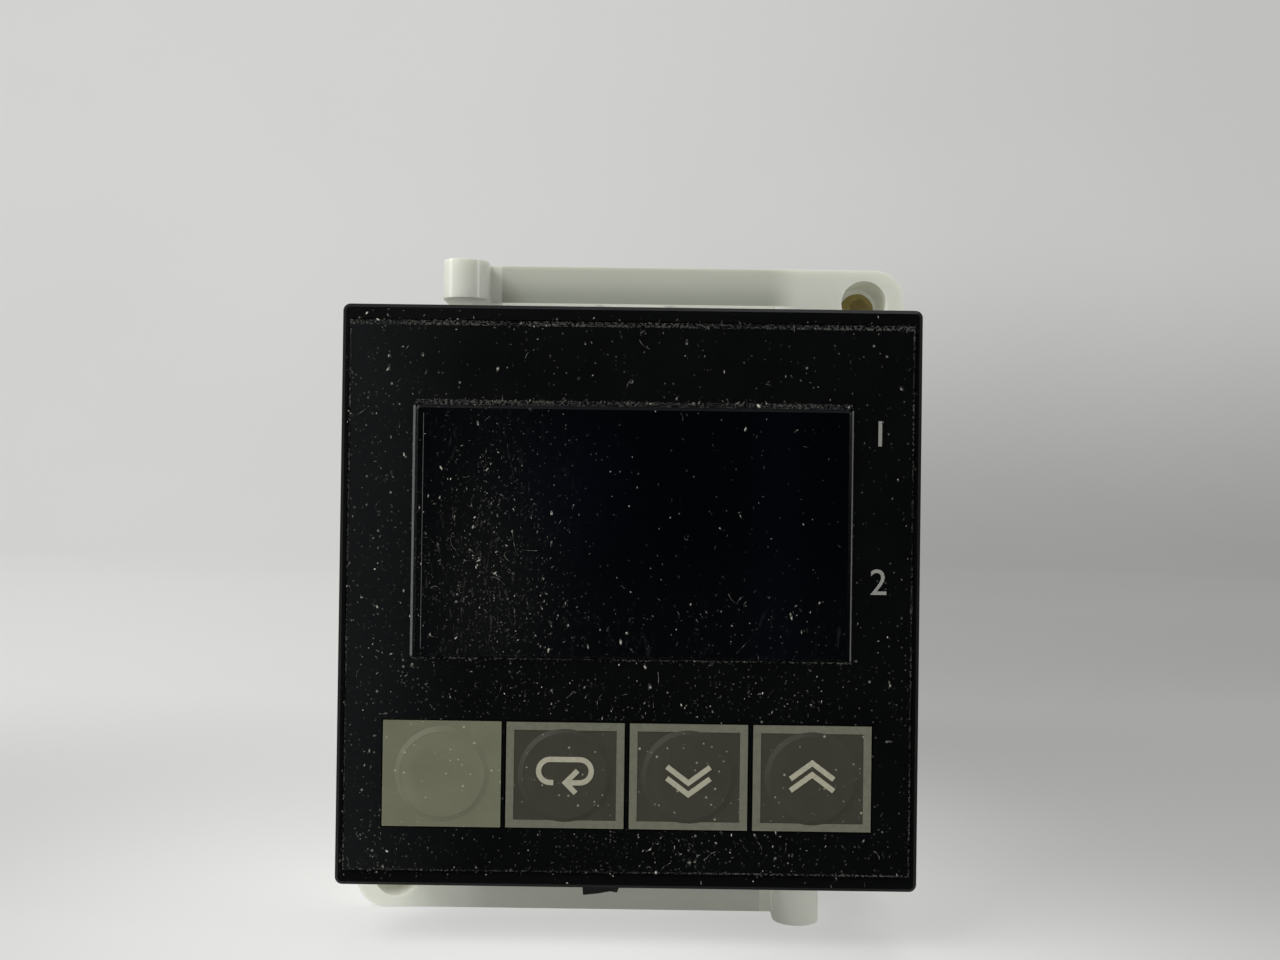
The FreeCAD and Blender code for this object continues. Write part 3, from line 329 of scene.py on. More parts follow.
@dataclass(frozen=True)
class PrintedFilm(Finish):
    """Black printed film on the front: semi-gloss, with a painted sheen that greys its left edge, and full
    of fine dust.
    """

    colour: Colour
    # Grey of the wiping smears and of the painted sheen at the left edge.
    haze: Colour
    dust: Colour
    rough: float = 0.3
    # Where the painted sheen, and the extra dust, begin and are full.
    haze_from: float = -12.0
    haze_full: float = -24.0
    dusty_foot: float = -20.5
    dusty_belt: float = -8.0

    def paint(self, sheet: Sheet, place: Value) -> bpy.types.Material:
        """Black with a left side greyed by painted sheen, two sizes of dust and short wiping streaks."""
        across, _, up = sheet.parts(place)
        clouds = sheet.noise(place, 4.0, 4.0)
        # Painted sheen: the film greys toward its left edge as if lit from the left; more dust is laid
        # there too.
        side = across.rise(self.haze_from, self.haze_full)
        rows = up.bell(self.dusty_foot, 2.0) * 0.25 + up.bell(self.dusty_belt, 2.5) * 0.2
        settled = 0.1 + side * 0.2 + rows
        fine = sheet.specks(place, 0.34, 0.3, settled * 1.2)
        coarse = sheet.specks(place, 1.1, 0.13, settled)
        streaks = sheet.noise(place * (2.6, 1.0, 0.7), 1.0, 2.0, 1.5).rise(0.66, 0.8)
        film = sheet.blend(side * 0.8 + clouds * 0.15 + streaks * 0.2, self.colour, self.haze)
        mask = (fine * 0.16 + coarse * 0.45).least(1.0)
        return sheet.finish(
            Base_Color=sheet.blend(mask, film, self.dust),
            Roughness=self.rough + clouds * 0.12 + mask * 0.4,
            Specular_IOR_Level=0.2,
            Normal=sheet.relief(clouds * 0.6 + mask, 0.02, 0.6),
        )


@dataclass(frozen=True)
class SmokedWindow(Finish):
    """Smoked clear plastic over a dark display: bluish black and glossy, with faint smears."""

    colour: Colour
    tint: Colour
    dust: Colour
    dusty: tuple[float, float] = (-12.0, 2.0)
    dusty_foot: float = -3.5
    cast_upper: tuple[float, float] = (-5.0, 9.0)
    cast_right: float = 12.0

    def paint(self, sheet: Sheet, place: Value) -> bpy.types.Material:
        """Black with a blue cast right of the middle, fine dust at the left and thin smears."""
        across, _, up = sheet.parts(place)
        clouds = sheet.noise(place, 6.0, 3.0)
        left = across.bell(self.dusty[0], 6.0) * (0.4 + up.bell(self.dusty[1], 8.0) * 0.6)
        low = up.bell(self.dusty_foot, 3.0) * 0.5
        fine = sheet.specks(place, 0.3, 0.32, (left + low * 0.5) * 0.5)
        wiped = sheet.noise(place * (1.8, 1.0, 0.5), 1.0, 2.0, 2.0)
        smears = wiped.rise(0.6, 0.78) * (left + low * 0.6)
        upper = across.bell(self.cast_upper[0], 5.0) * up.bell(self.cast_upper[1], 6.0)
        cast = upper * 0.6 + across.bell(self.cast_right, 2.5) * 0.4
        body = sheet.blend(cast * (0.6 + clouds * 0.4), self.colour, self.tint)
        mask = (fine * 0.18 + smears * 0.08 + left * 0.012).least(1.0)
        return sheet.finish(
            Base_Color=sheet.blend(mask, body, self.dust),
            Roughness=0.12 + mask * 0.5 + clouds * 0.05,
            Specular_IOR_Level=0.4,
            Normal=sheet.relief(clouds, 0.01, 0.25),
        )


@dataclass(frozen=True)
class KeyFilm(Finish):
    """Printed key field, rubbed and dusty, with a faint ring of wear round its embossed disc, whose rim is
    painted with shade and light.
    """

    colour: Colour
    centre: tuple[float, float]
    disc: float

    def paint(self, sheet: Sheet, place: Value) -> bpy.types.Material:
        """Field colour with soft blotches, a paler crescent on the disc's left, painted shade and light on
        the disc's rim, and pale specks.
        """
        across, _, up = sheet.parts(place)
        east = across - self.centre[0]
        north = up - self.centre[1]
        away = (east * east + north * north) ** 0.5
        blotch = sheet.noise(place, 2.2, 4.0)
        worn = away.bell(self.disc - 0.9, 0.5) * east.rise(0.5, -3.0) * 0.45
        # Painted shade and light: the disc's rim is darker on its upper left and paler on its lower right,
        # against the light on its embossed slope.
        lit_side = away.bell(self.disc - 0.2, 0.2) * (north * 0.9 - east * 0.4) / self.disc
        specks = sheet.specks(place, 0.8, 0.17, 0.3) + sheet.specks(place, 0.33, 0.28, 0.1) * 0.6
        deep, pale, rubbed = sheet.tones(self.colour, 0.88, 1.12, 1.35)
        field = sheet.blend(worn * blotch, sheet.blend(blotch, deep, pale), rubbed)
        # The field with the rim's painted shade and light.
        embossed = field * (1 - lit_side * 0.1)
        return sheet.finish(
            Base_Color=sheet.blend(specks.least(1.0) * 0.8, embossed, shade(186, 184, 166)),
            Roughness=0.42 + blotch * 0.12,
            Specular_IOR_Level=0.35,
            Normal=sheet.relief(sheet.noise(place, 0.3, 2.0) + specks, 0.012, 0.5),
        )


@dataclass(frozen=True)
class PrintInk(Finish):
    """Screen-printed ink, slightly uneven."""

    colour: Colour

    def paint(self, sheet: Sheet, place: Value) -> bpy.types.Material:
        """Ink colour with pinholes and a fine mottle."""
        mottle = sheet.noise(place, 0.35, 3.0)
        (dim,) = sheet.tones(self.colour, 0.88)
        return sheet.finish(
            Base_Color=sheet.blend(mottle.rise(0.3, 0.7), dim, self.colour),
            Roughness=0.45 + mottle * 0.15,
            Specular_IOR_Level=0.3,
        )


@dataclass(frozen=True)
class NaturalNylon(Finish):
    """Translucent natural plastic, with its light painted into its colour: whiter where thick, greener and
    darker as painted shade in the thin springs.
    """

    # thick is the lit colour and thin its painted shade, as light through the plastic would show them.
    thick: Colour
    thin: Colour
    foot_x: float
    block_x: float
    leaf_depth: float
    pocket: tuple[float, float, float]
    arm_under: float = 25.66
    arm_top: float = 28.2
    glow_from: float = 25.2
    soft: float = 0.04

    def paint(self, sheet: Sheet, place: Value) -> bpy.types.Material:
        """Two colours by thickness, as painted light and shade, flow marks and black specks, with a faint
        painted glow in the pocket, under the springs and on the lower foot.
        """
        across, along, up = sheet.parts(place)
        tall = abs(up)
        outward = across * sheet.maths("SIGN", up)
        past_foot = outward.rise(-self.foot_x - self.soft, -self.foot_x + self.soft)
        leaf = past_foot * outward.rise(self.block_x + 2.2, self.block_x - 0.8)
        above = tall.rise(self.arm_under - self.soft, self.arm_under + self.soft)
        near = along.rise(self.leaf_depth + 1.0, self.leaf_depth) * above
        # Painted shade: the springs darken towards their lower edge.
        shade_to_lower_edge = tall.rise(self.arm_top, self.arm_under + 0.14) * 0.5
        flow = sheet.noise(place * (0.25, 1.0, 2.0), 3.0, 1.0)
        # Lit and shaded copies of the plastic: the springs take the darker, painted-shade colour.
        body = sheet.blend(leaf * near * (0.5 + shade_to_lower_edge), self.thick, self.thin)
        grit = sheet.specks(place, 2.6, 0.05, 0.22)
        # Painted light: the clamp-screw pocket, the springs' undersides and the lower foot glow, where they
        # would otherwise lie in shade.
        pocket_x, pocket_z, pocket_radius = self.pocket
        beside = outward - pocket_x
        over = tall - pocket_z
        reach = (beside * beside + over * over) ** 0.5
        inside = reach.rise(pocket_radius + 0.1, pocket_radius - 0.1)
        under = leaf * (1 - above) * along.rise(12.0, 4.0)
        foot_glow = up.rise(-self.glow_from, -self.glow_from - 1.0) * along.rise(15.0, 9.0) * 0.55
        glow = (inside * 0.7 + under).most(foot_glow).least(1.0)
        pale = sheet.blend(flow.rise(0.2, 0.8) * 0.05, body, shade(220, 222, 212))
        return sheet.finish(
            Base_Color=sheet.blend(grit, pale, shade(60, 52, 40)),
            Roughness=0.24 + flow * 0.04,
            Subsurface_Weight=0.35,
            Subsurface_Radius=(1.0, 1.0, 0.8),
            Subsurface_Scale=1.2 * MM,
            Emission_Color=sheet.blend(glow, (0.0, 0.0, 0.0), self.thick),
            Emission_Strength=0.3,
            Normal=sheet.relief(flow, 0.008, 0.1),
        )


@dataclass(frozen=True)
class PlatedMetal(Finish):
    """Plated steel or brass with drawing marks, dull patches and stains."""

    colour: Colour
    stain: Colour
    rough: float = 0.3

    def paint(self, sheet: Sheet, place: Value) -> bpy.types.Material:
        """Bright plating with dull, stained clouds and fine scratches."""
        clouds = sheet.noise(place, 1.6, 4.0)
        scratch = sheet.noise(place * (6.0, 1.0, 1.0), 0.8, 2.0)
        return sheet.finish(
            Base_Color=sheet.blend(clouds.rise(0.4, 0.8) * 0.6, self.colour, self.stain),
            Metallic=1.0,
            Roughness=self.rough + clouds * 0.2 + scratch * 0.1,
            Normal=sheet.relief(scratch, 0.01, 0.4),
        )


@dataclass(frozen=True)
class CircuitBoard(Finish):
    """Green solder resist over copper tracks, with tinned pads on a regular grid."""

    flat: tuple[int, int]
    resist: Colour
    track: Colour
    pad: Colour
    grid: float = 2.54
    pad_share: float = 0.3
    cell: float = 6.25
    nested: float = 7.0

    def paint(self, sheet: Sheet, place: Value) -> bpy.types.Material:
        """Nested square tracks, and round pads at the grid's points where the lot falls."""
        axes = sheet.parts(place)
        first, second = (axes[i] for i in self.flat)
        step = sheet.node(
            "ShaderNodeTexVoronoi",
            {"distance": "CHEBYCHEV"},
            {"Vector": place, "Scale": 1 / self.cell},
            "Distance",
        )
        tracks = abs((step * self.nested).fraction() - 0.5).rise(0.2, 0.26)
        cell_a = (first / self.grid).fraction() - 0.5
        cell_b = (second / self.grid).fraction() - 0.5
        reach = (cell_a * cell_a + cell_b * cell_b) ** 0.5
        chosen = sheet.noise(place, 3.0, 1.0).rise(0.5, 0.53)
        pads = reach.rise(self.pad_share, self.pad_share - 0.04) * chosen
        board = sheet.blend(tracks, self.resist, self.track)
        return sheet.finish(
            Base_Color=sheet.blend(pads, board, self.pad),
            Metallic=pads * 0.9,
            Roughness=0.38 - pads * 0.1,
            Normal=sheet.relief(tracks + pads, 0.03, 0.6),
        )


@dataclass(frozen=True)
class WoundTape(Finish):
    """Clear yellow film tape wound round a coil, in overlapping turns."""

    colour: Colour
    edge: Colour
    turn: float = 2.4

    def paint(self, sheet: Sheet, place: Value) -> bpy.types.Material:
        """Bands along the winding's axis with darker overlaps."""
        out, _, _ = sheet.parts(place)
        band = (out / self.turn).fraction()
        overlap = band.rise(0.12, 0.0)
        mottle = sheet.noise(place, 1.2, 3.0)
        return sheet.finish(
            Base_Color=sheet.blend(overlap * 0.6 + mottle * 0.3, self.colour, self.edge),
            Roughness=0.3 + mottle * 0.15,
            Normal=sheet.relief(band, 0.05, 0.5),
        )


@dataclass(frozen=True)
class ShrinkSleeve(Finish):
    """Printed sleeve of a standing capacitor, with a pale stripe and a bare scored metal top."""

    colour: Colour
    stripe: Colour
    axis: tuple[float, float]
    top: float
    bare_top: float = 0.3
    stripe_half: float = 1.4
    score_half: float = 0.12

    def paint(self, sheet: Sheet, place: Value) -> bpy.types.Material:
        """Sleeve colour, a stripe on one side, and bright metal above the sleeve's edge."""
        out, along, up = sheet.parts(place)
        beside = along - self.axis[0]
        over = up - self.axis[1]
        stripe = beside.rise(-1.6, -1.8) * abs(over).rise(self.stripe_half + 0.2, self.stripe_half)
        bare = out.rise(self.top - self.bare_top - 0.05, self.top - self.bare_top)
        cuts = [abs(line).rise(self.score_half + 0.1, self.score_half) for line in (beside, over)]
        score = cuts[0].most(cuts[1]) * bare
        sleeve = sheet.blend(stripe, self.colour, self.stripe)
        return sheet.finish(
            Base_Color=sheet.blend(bare, sleeve, shade(190, 192, 194)),
            Metallic=bare,
            Roughness=0.3 + sheet.noise(place, 0.8, 2.0) * 0.12,
            Normal=sheet.relief(1 - score, 0.15, 0.6),
        )


@dataclass(frozen=True)
class LiquidCrystal(Finish):
    """Grey-green polariser film on the display glass, with a darker printed edge."""

    colour: Colour
    edge: Colour
    half: tuple[float, float]
    centre: tuple[float, float]
    border: float = 0.8

    def paint(self, sheet: Sheet, place: Value) -> bpy.types.Material:
        """Film colour inside, and the edge colour within a millimetre of the outline."""
        across, _, up = sheet.parts(place)
        clear = []
        for line, middle, half in zip((across, up), self.centre, self.half):
            clear.append(abs(line - middle).rise(half - self.border, half - self.border - 0.2))
        return sheet.finish(
            Base_Color=sheet.blend(clear[0] * clear[1], self.edge, self.colour),
            Roughness=0.16 + sheet.noise(place, 5.0, 2.0) * 0.08,
            Coat_Weight=0.5,
        )


@dataclass(frozen=True)
class FineDust(Finish):
    """Pale grains and fibres, each of its own brightness."""

    dim: Colour
    bright: Colour
    power: float

    def paint(self, sheet: Sheet, place: Value) -> bpy.types.Material:
        """Brightness drawn from the place of the grain, mostly dim."""
        lot = sheet.noise(place, 0.45, 1.0).rise(0.3, 0.74)
        return sheet.finish(
            Base_Color=sheet.blend(lot**self.power, self.dim, self.bright),
            Roughness=0.85,
            Specular_IOR_Level=0.2,
        )


@dataclass(frozen=True)
class DustLine(Finish):
    """Dust caught along an edge, thick in some places and missing in others."""

    colour: Colour
    cover: float

    def paint(self, sheet: Sheet, place: Value) -> bpy.types.Material:
        """Grey dust whose cover comes and goes along the edge."""
        lumps = sheet.noise(place, 0.22, 3.0)
        spans = sheet.noise(place, 4.0, 2.0).rise(0.35, 0.65)
        (dim,) = sheet.tones(self.colour, 0.35)
        return sheet.finish(
            Base_Color=sheet.blend(lumps.rise(0.45, 0.7), dim, self.colour),
            Roughness=0.9,
            Alpha=lumps.rise(0.38, 0.62) * (self.cover + spans * (1 - self.cover)) * 0.8,
        )


@dataclass(frozen=True)
class StudioPaper(Finish):
    """Pale seamless paper with a broad painted shade to the right, as under a lamp at the left, and painted
    light under the object.
    """

    light: Colour
    dark: Colour
    left: Colour
    right: Colour
    eye: tuple[float, float]
    own: float = 0.62
    deepest: float = 0.4
    nearest: float = 20.0
    side_fade: tuple[float, float] = (1500.0, 700.0)
    cloud: float = 160.0

    def paint(self, sheet: Sheet, place: Value) -> bpy.types.Material:
        """Paper whose painted shade follows the slopes, across and up, at which it is seen from the front.

        The lit paper is mixed, for the camera alone, with a share of its own even colour, which
        thins the shadows on it and leaves them in place.
        """
        across, along, up = sheet.parts(place)
        depth = (along - self.eye[0]).most(self.nearest)
        slope = across / depth
        rise = (up - self.eye[1]) / depth
        clouds = sheet.noise(place, self.cloud) - 0.5
        sides = abs(across).rise(*self.side_fade) * along.rise(-80.0, 30.0)
        # Painted shadow: a broad shade right of the object.
        deep = rise.rise(0.2, -0.05) * (0.3 + rise.rise(-0.26, -0.12) * 0.7)
        shadow = slope.rise(-0.02, 0.2) * deep * sides * self.deepest
        # Painted light under the object, which thins its cast shadow on the floor.
        under = across.bell(0.0, 50.0) * along.bell(10.0, 70.0)
        low = (0.55 + up.rise(300.0, 50.0) * 0.25 - under * 0.8 + clouds * 0.16).most(0.0)
        lit = sheet.blend(low, self.light, self.dark) * (1 - shadow)
        # The even colour is painted darker to the right, as shade.
        even = sheet.blend(slope.rise(-0.5, 0.5) * sides, self.left, self.right)
        # Painted shade on the floor just in front of the object, thinned under it.
        near = along.rise(130.0, 15.0) * along.rise(-500.0, -100.0) * (1 - under) * 0.32
        seen = even * (1 - shadow - near + under * 0.25 + clouds * 0.12)
        sheet.finish(Base_Color=lit, Roughness=0.8, Specular_IOR_Level=0.15)
        glow = sheet.node("ShaderNodeEmission", inputs={"Color": seen})
        camera = sheet.node("ShaderNodeLightPath", output="Is Camera Ray")
        surface = Value(sheet, sheet.surface.outputs[0])
        mixed = sheet.node("ShaderNodeMixShader", inputs={0: camera * self.own, 1: surface, 2: glow})
        sheet.feed(sheet.tree.nodes["Material Output"].inputs["Surface"], mixed)
        return sheet.material


# ---------------------------------------------------------------- mesh building
class Shell(Enum):
    """How a grid of points closes on itself."""

    OPEN = "open"
    RING = "ring"
    LOOP = "loop"


@dataclass
class Skin:
    """Points and faces of a mesh in the making, in millimetres."""

    points: np.ndarray
    faces: list[tuple[int, ...]]

    @classmethod
    def over(cls, grid: np.ndarray, shell: Shell = Shell.RING) -> "Skin":
        """Faces over a grid of points.

        Row i and row i + 1 of the grid are joined by quads. A RING closes each row on itself and caps
        the first and last rows. A LOOP also joins the last row to the first, as on a tyre.

        Args:
            grid: Points as rows by columns by three.
            shell: How the grid closes.

        Returns:
            The skin.
        """
        rows, columns, _ = grid.shape
        numbers = np.arange(rows * columns).reshape(rows, columns)
        if shell is not Shell.OPEN:
            numbers = np.concatenate([numbers, numbers[:, :1]], axis=1)
        if shell is Shell.LOOP:
            numbers = np.concatenate([numbers, numbers[:1]], axis=0)
        corners = (numbers[:-1, :-1], numbers[:-1, 1:], numbers[1:, 1:], numbers[1:, :-1])
        faces = [tuple(face) for face in np.stack(corners, axis=-1).reshape(-1, 4).tolist()]
        if shell is Shell.RING:
            faces += [tuple(numbers[0, :-1].tolist()), tuple(numbers[-1, :-1].tolist())]
        return cls(grid.reshape(-1, 3), faces)

    def copied(self, shifts: np.ndarray) -> "Skin":
        """One skin of copies of this one, each moved by one row of shifts."""
        count = len(self.points)
        points = (self.points[None, :, :] + shifts[:, None, :]).reshape(-1, 3)
        faces = [tuple(i + k * count for i in face) for k in range(len(shifts)) for face in self.faces]
        return Skin(points, faces)

    @staticmethod
    def together(skins: Sequence["Skin"]) -> "Skin":
        """One skin of several."""
        starts = np.cumsum([0, *(len(s.points) for s in skins)])
        faces = [tuple(i + int(start) for i in face) for s, start in zip(skins, starts) for face in s.faces]
        return Skin(np.concatenate([s.points for s in skins]), faces)

    def object(self, name: str, body: str, smooth: float = 40.0) -> bpy.types.Object:
        """Makes the Blender object, with its faces outwards, and lets it ride.

        Args:
            name: Name of the piece.
            body: The body that it moves with.
            smooth: Edges sharper than this many degrees stay sharp.

        Returns:
            The new object.
        """
        mesh = bpy.data.meshes.new(name)
        mesh.from_pydata((self.points * MM).tolist(), [], self.faces)
        work = bmesh.new()
        work.from_mesh(mesh)
        bmesh.ops.recalc_face_normals(work, faces=work.faces)
        work.to_mesh(mesh)
        work.free()
        mesh.shade_smooth()
        mesh.set_sharp_from_angle(angle=math.radians(smooth))
        made = bpy.data.objects.new(name, mesh)
        bpy.context.scene.collection.objects.link(made)
        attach(made, body)
        return made


def turned(profile: np.ndarray, around: np.ndarray) -> np.ndarray:
    """Grid of a turned shape about the Y axis.

    A profile point of radius r and height y, at angle t, is the point (r cos t, y, r sin t).

    Args:
        profile: Radius and height of each ring.
        around: The angles, in radians.

    Returns:
        Points as rings by angles by three.
    """
    radius = profile[:, :1]
    height = np.broadcast_to(profile[:, 1:2], (len(profile), len(around)))
    return np.stack([radius * np.cos(around), height, radius * np.sin(around)], axis=-1)


def ribbon(path: np.ndarray, width: float, face: float, thick: float, closed: bool = False) -> Skin:
    """A flat printed line of constant width along a path of (x, z) points, facing the front.

    At each point the two edges lie half a width to either side, along the mitre of the two runs that
    meet there. The front of the line is at y = face, and its back is one thickness behind.

    Args:
        path: The middle line.
        width: Width of the line.
        face: Y of its front.
        thick: Thickness.
        closed: Whether the path comes back to its start.

    Returns:
        The line as a closed skin.
    """
    if closed:
        before, after = np.roll(path, 1, axis=0), np.roll(path, -1, axis=0)
    else:
        before = np.concatenate([path[:1] * 2 - path[1:2], path[:-1]])
        after = np.concatenate([path[1:], path[-1:] * 2 - path[-2:-1]])
    run_in = (path - before) / np.linalg.norm(path - before, axis=1, keepdims=True)
    run_out = (after - path) / np.linalg.norm(after - path, axis=1, keepdims=True)
    normal_in = np.stack([-run_in[:, 1], run_in[:, 0]], axis=1)
    normal_out = np.stack([-run_out[:, 1], run_out[:, 0]], axis=1)
    mitre = normal_in + normal_out
    mitre /= np.linalg.norm(mitre, axis=1, keepdims=True)
    reach = width / 2 / np.sum(mitre * normal_in, axis=1, keepdims=True)
    edges = (path + mitre * reach, path - mitre * reach)
    rims = [(edges[0], face), (edges[1], face), (edges[1], face + thick), (edges[0], face + thick)]
    grid = np.stack([np.stack([e[:, 0], np.full(len(e), y), e[:, 1]], axis=-1) for e, y in rims], axis=1)
    return Skin.over(grid, Shell.LOOP if closed else Shell.RING)


def arc(centre: tuple[float, float], radius: float, start: float, end: float) -> np.ndarray:
    """Twelve points (x, z) on an arc from one angle to another, in degrees."""
    turn = np.radians(np.linspace(start, end, 12))
    return np.stack([centre[0] + radius * np.cos(turn), centre[1] + radius * np.sin(turn)], axis=-1)


def tube(path: np.ndarray, radius: float, sides: int = 6) -> Skin:
    """A thin round thread along a path of three-part points.

    Each ring stands square to the run of the path there, on the two directions that are square to it.

    Args:
        path: The middle line.
        radius: Radius of the thread.
        sides: Corners of a ring.

    Returns:
        The thread as a closed skin.
    """
    runs = np.gradient(path, axis=0)
    runs /= np.linalg.norm(runs, axis=1, keepdims=True)
    across = np.cross(runs, np.array([0.0, 1.0, 0.0]))
    across /= np.linalg.norm(across, axis=1, keepdims=True)
    over = np.cross(runs, across)
    turn = np.linspace(0, 2 * math.pi, sides, endpoint=False)
    ring = np.cos(turn)[None, :, None] * across[:, None] + np.sin(turn)[None, :, None] * over[:, None]
    return Skin.over(path[:, None] + radius * ring)


DIGIT_SHARE = 0.69  # height of a digit, as a share of the type's size
DIGIT_THICK = 0.04


class Facing(Enum):
    """Which way a printed number looks."""

    FRONT = "front"
    REAR = "rear"


def number(text: str, size: float, place: tuple[float, float, float], facing: Facing) -> Skin:
    """A plain number as a thin solid.

    Args:
        text: The digits.
        size: Height of a digit.
        place: Middle of the number.
        facing: Whether it is read from the front or from the rear.

    Returns:
        The number as a skin.
    """
    curve = bpy.data.curves.new("digits", "FONT")
    curve.body = text
    curve.size = size / DIGIT_SHARE
    curve.extrude = DIGIT_THICK / 2
    curve.align_x = "CENTER"
    curve.align_y = "CENTER"
    curve.resolution_u = 3
    holder = bpy.data.objects.new("digits", curve)
    bpy.context.scene.collection.objects.link(holder)
    bpy.context.view_layer.update()
    mesh = bpy.data.meshes.new_from_object(holder.evaluated_get(bpy.context.evaluated_depsgraph_get()))
    flat = np.array([v.co for v in mesh.vertices])
    faces = [tuple(p.vertices) for p in mesh.polygons]
    bpy.data.objects.remove(holder)
    bpy.data.curves.remove(curve)
    bpy.data.meshes.remove(mesh)
    flat -= (flat.min(axis=0) + flat.max(axis=0)) / 2
    way = 1.0 if facing is Facing.FRONT else -1.0
    turned_up = np.stack([flat[:, 0] * way, -flat[:, 2] * way, flat[:, 1]], axis=-1)
    return Skin(turned_up + np.array(place), faces)


SHARP_ANGLE = 50.0
WELD_REACH = 0.001


def coat(piece: bpy.types.Object, finish: Finish, name: str) -> None:
    """Gives a piece its finish, as its only material and under that name."""
    piece.data.materials.clear()
    piece.data.materials.append(finish.material(name))
    LOG.info("coated %s", piece.name)


def dress(name: str, finish: Finish) -> None:
    """Gives the CAD node of that name its finish."""
    coat(bpy.data.objects[name], finish, name + "_finish")


def soften(name: str, width: float) -> None:
    """Rounds a CAD node's sharp edges a little, by modifiers over its own mesh.

    Args:
        name: Name of the node.
        width: Width of the rounding, in millimetres.
    """
    made = bpy.data.objects[name]
    weld = made.modifiers.new("weld", "WELD")
    weld.merge_threshold = WELD_REACH * MM
    bevel = made.modifiers.new("soft_edges", "BEVEL")
    bevel.width = width * MM
    bevel.segments = 2
    bevel.limit_method = "ANGLE"
    bevel.angle_limit = math.radians(SHARP_ANGLE)


def limits(node: str) -> tuple[np.ndarray, np.ndarray]:
    """Lowest and highest corner of a CAD node, in millimetres."""
    low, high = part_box(node)
    return np.array(low) / MM, np.array(high) / MM


# ---------------------------------------------------------------- screws
@dataclass(frozen=True)
class ThreadedScrew:
    """A pan-head screw with a cut thread and a cross recess, along Y, with its head rearwards."""

    radius: float
    length: float
    pitch: float
    head: float
    high: float
    edge: float = 0.5
    recess_width: float = 0.8
    recess_reach: float = 3.6
    recess_depth: float = 1.2
    steps: int = 5
    thread_share: float = 0.54
    tip_loss: float = 0.24
    runout: float = 0.2

    @property
    def thread_depth(self) -> float:
        """Depth of the thread."""
        return self.thread_share * self.pitch

    def angles(self) -> np.ndarray:
        """Angles round the screw, with samples at the corners of the recess."""
        corner = math.atan2(self.recess_width, self.recess_reach)
        end = np.linspace(-corner, corner, 4, endpoint=False)
        side = np.linspace(corner, math.pi / 2 - corner, 8, endpoint=False)
        quarter = np.concatenate([end, side])
        return np.concatenate([quarter + k * math.pi / 2 for k in range(4)])

    def thread(self, around: np.ndarray) -> np.ndarray:
        """Rings of the thread.

        The radius falls from the crest to the root and back once in each pitch, as a triangle wave of
        height over pitch less angle over a full turn.

        Args:
            around: The angles, in radians.

        Returns:
            Points as rings by angles by three.
        """
        depth = self.thread_depth
        count = int(self.length / self.pitch * self.steps)
        height = np.linspace(-self.length + self.runout, -self.runout, count)[:, None]
        phase = height / self.pitch - around[None, :] / (2 * math.pi)
        wave = np.abs(2 * (phase - np.floor(phase)) - 1)
        taper = np.clip((height + self.length) / self.pitch, 0.3, 1.0)
        radius = (self.radius - depth + depth * wave * taper) * self.taper(height)
        across = np.stack([radius * np.cos(around), radius * np.sin(around)], axis=-1)
        tall = np.broadcast_to(height, radius.shape)
        return np.stack([across[..., 0], tall, across[..., 1]], axis=-1)

    def taper(self, height: np.ndarray | float) -> np.ndarray | float:
        """Share of the radius at a height: less over the last pitches before the tip."""
        return 1 - self.tip_loss * (1 - np.clip((height + self.length) / (2 * self.pitch), 0.0, 1.0))

    def skin(self) -> Skin:
        """The whole screw: tip, thread, head and recess, ring after ring.

        Inside the head's top the rings go over from a circle to the recess's cross, whose radius at
        each angle is the larger of two crossed rectangles' radii.
        """
        around = self.angles()
        root = self.radius - self.thread_depth
        tip = turned(np.array([[root * self.taper(-self.length) * 0.9, -self.length]]), around)
        rim = np.linspace(0, math.pi / 2, 5)
        side_top = self.high - self.edge
        outside = np.array([[root, -0.1], [root, 0.0], [self.head, 0.0], [self.head, side_top]])
        rounded = [self.head - self.edge + self.edge * np.cos(rim), side_top + self.edge * np.sin(rim)]
        curve = np.stack(rounded, axis=-1)
        head = turned(np.concatenate([outside, curve[1:]]), around)
        cos, sin = np.abs(np.cos(around)) + 1e-9, np.abs(np.sin(around)) + 1e-9
        long, short = self.recess_reach / 2, self.recess_width / 2
        cross = np.maximum(np.minimum(long / cos, short / sin), np.minimum(short / cos, long / sin))
        rings = []
        for share, sunk in ((1.0, 0.0), (0.93, 0.15), (0.72, 1.0)):
            flat = np.stack([cross * share * np.cos(around), cross * share * np.sin(around)], axis=-1)
            tall = np.full(len(around), self.high - sunk * self.recess_depth)
            rings.append(np.stack([flat[:, 0], tall, flat[:, 1]], axis=-1))
        return Skin.over(np.concatenate([tip, self.thread(around), head, np.stack(rings)]))


# ---------------------------------------------------------------- palette
BEZEL_PLASTIC = MouldedPlastic(shade(6, 7, 7), rough=0.46, shine=0.1)
BLACK_PLASTIC = MouldedPlastic(shade(17, 18, 18), rough=0.42)
BLOCK_PLASTIC = MouldedPlastic(shade(22, 23, 23), rough=0.48, dust=0.02)
WHITE_PLASTIC = MouldedPlastic(shade(214, 214, 206), rough=0.5, depth=0.006, dust=0.0)
BLACK_PART = MouldedPlastic(shade(26, 26, 27), rough=0.45, grain=0.2, dust=0.0)
RELAY_BLUE = MouldedPlastic(shade(38, 72, 122), rough=0.3, depth=0.004, dust=0.0)
FERRITE = MouldedPlastic(shade(58, 58, 60), rough=0.5, grain=0.12, depth=0.02, dust=0.0)
RUBBER = MouldedPlastic(shade(20, 20, 20), rough=0.75, grain=0.5, depth=0.03, dust=0.12)
DUST_COLOUR = shade(150, 150, 140)
SPECK_COLOUR = shade(120, 118, 108)
KEY_PALE = shade(103, 104, 84)
KEY_DARK = shade(56, 55, 45)
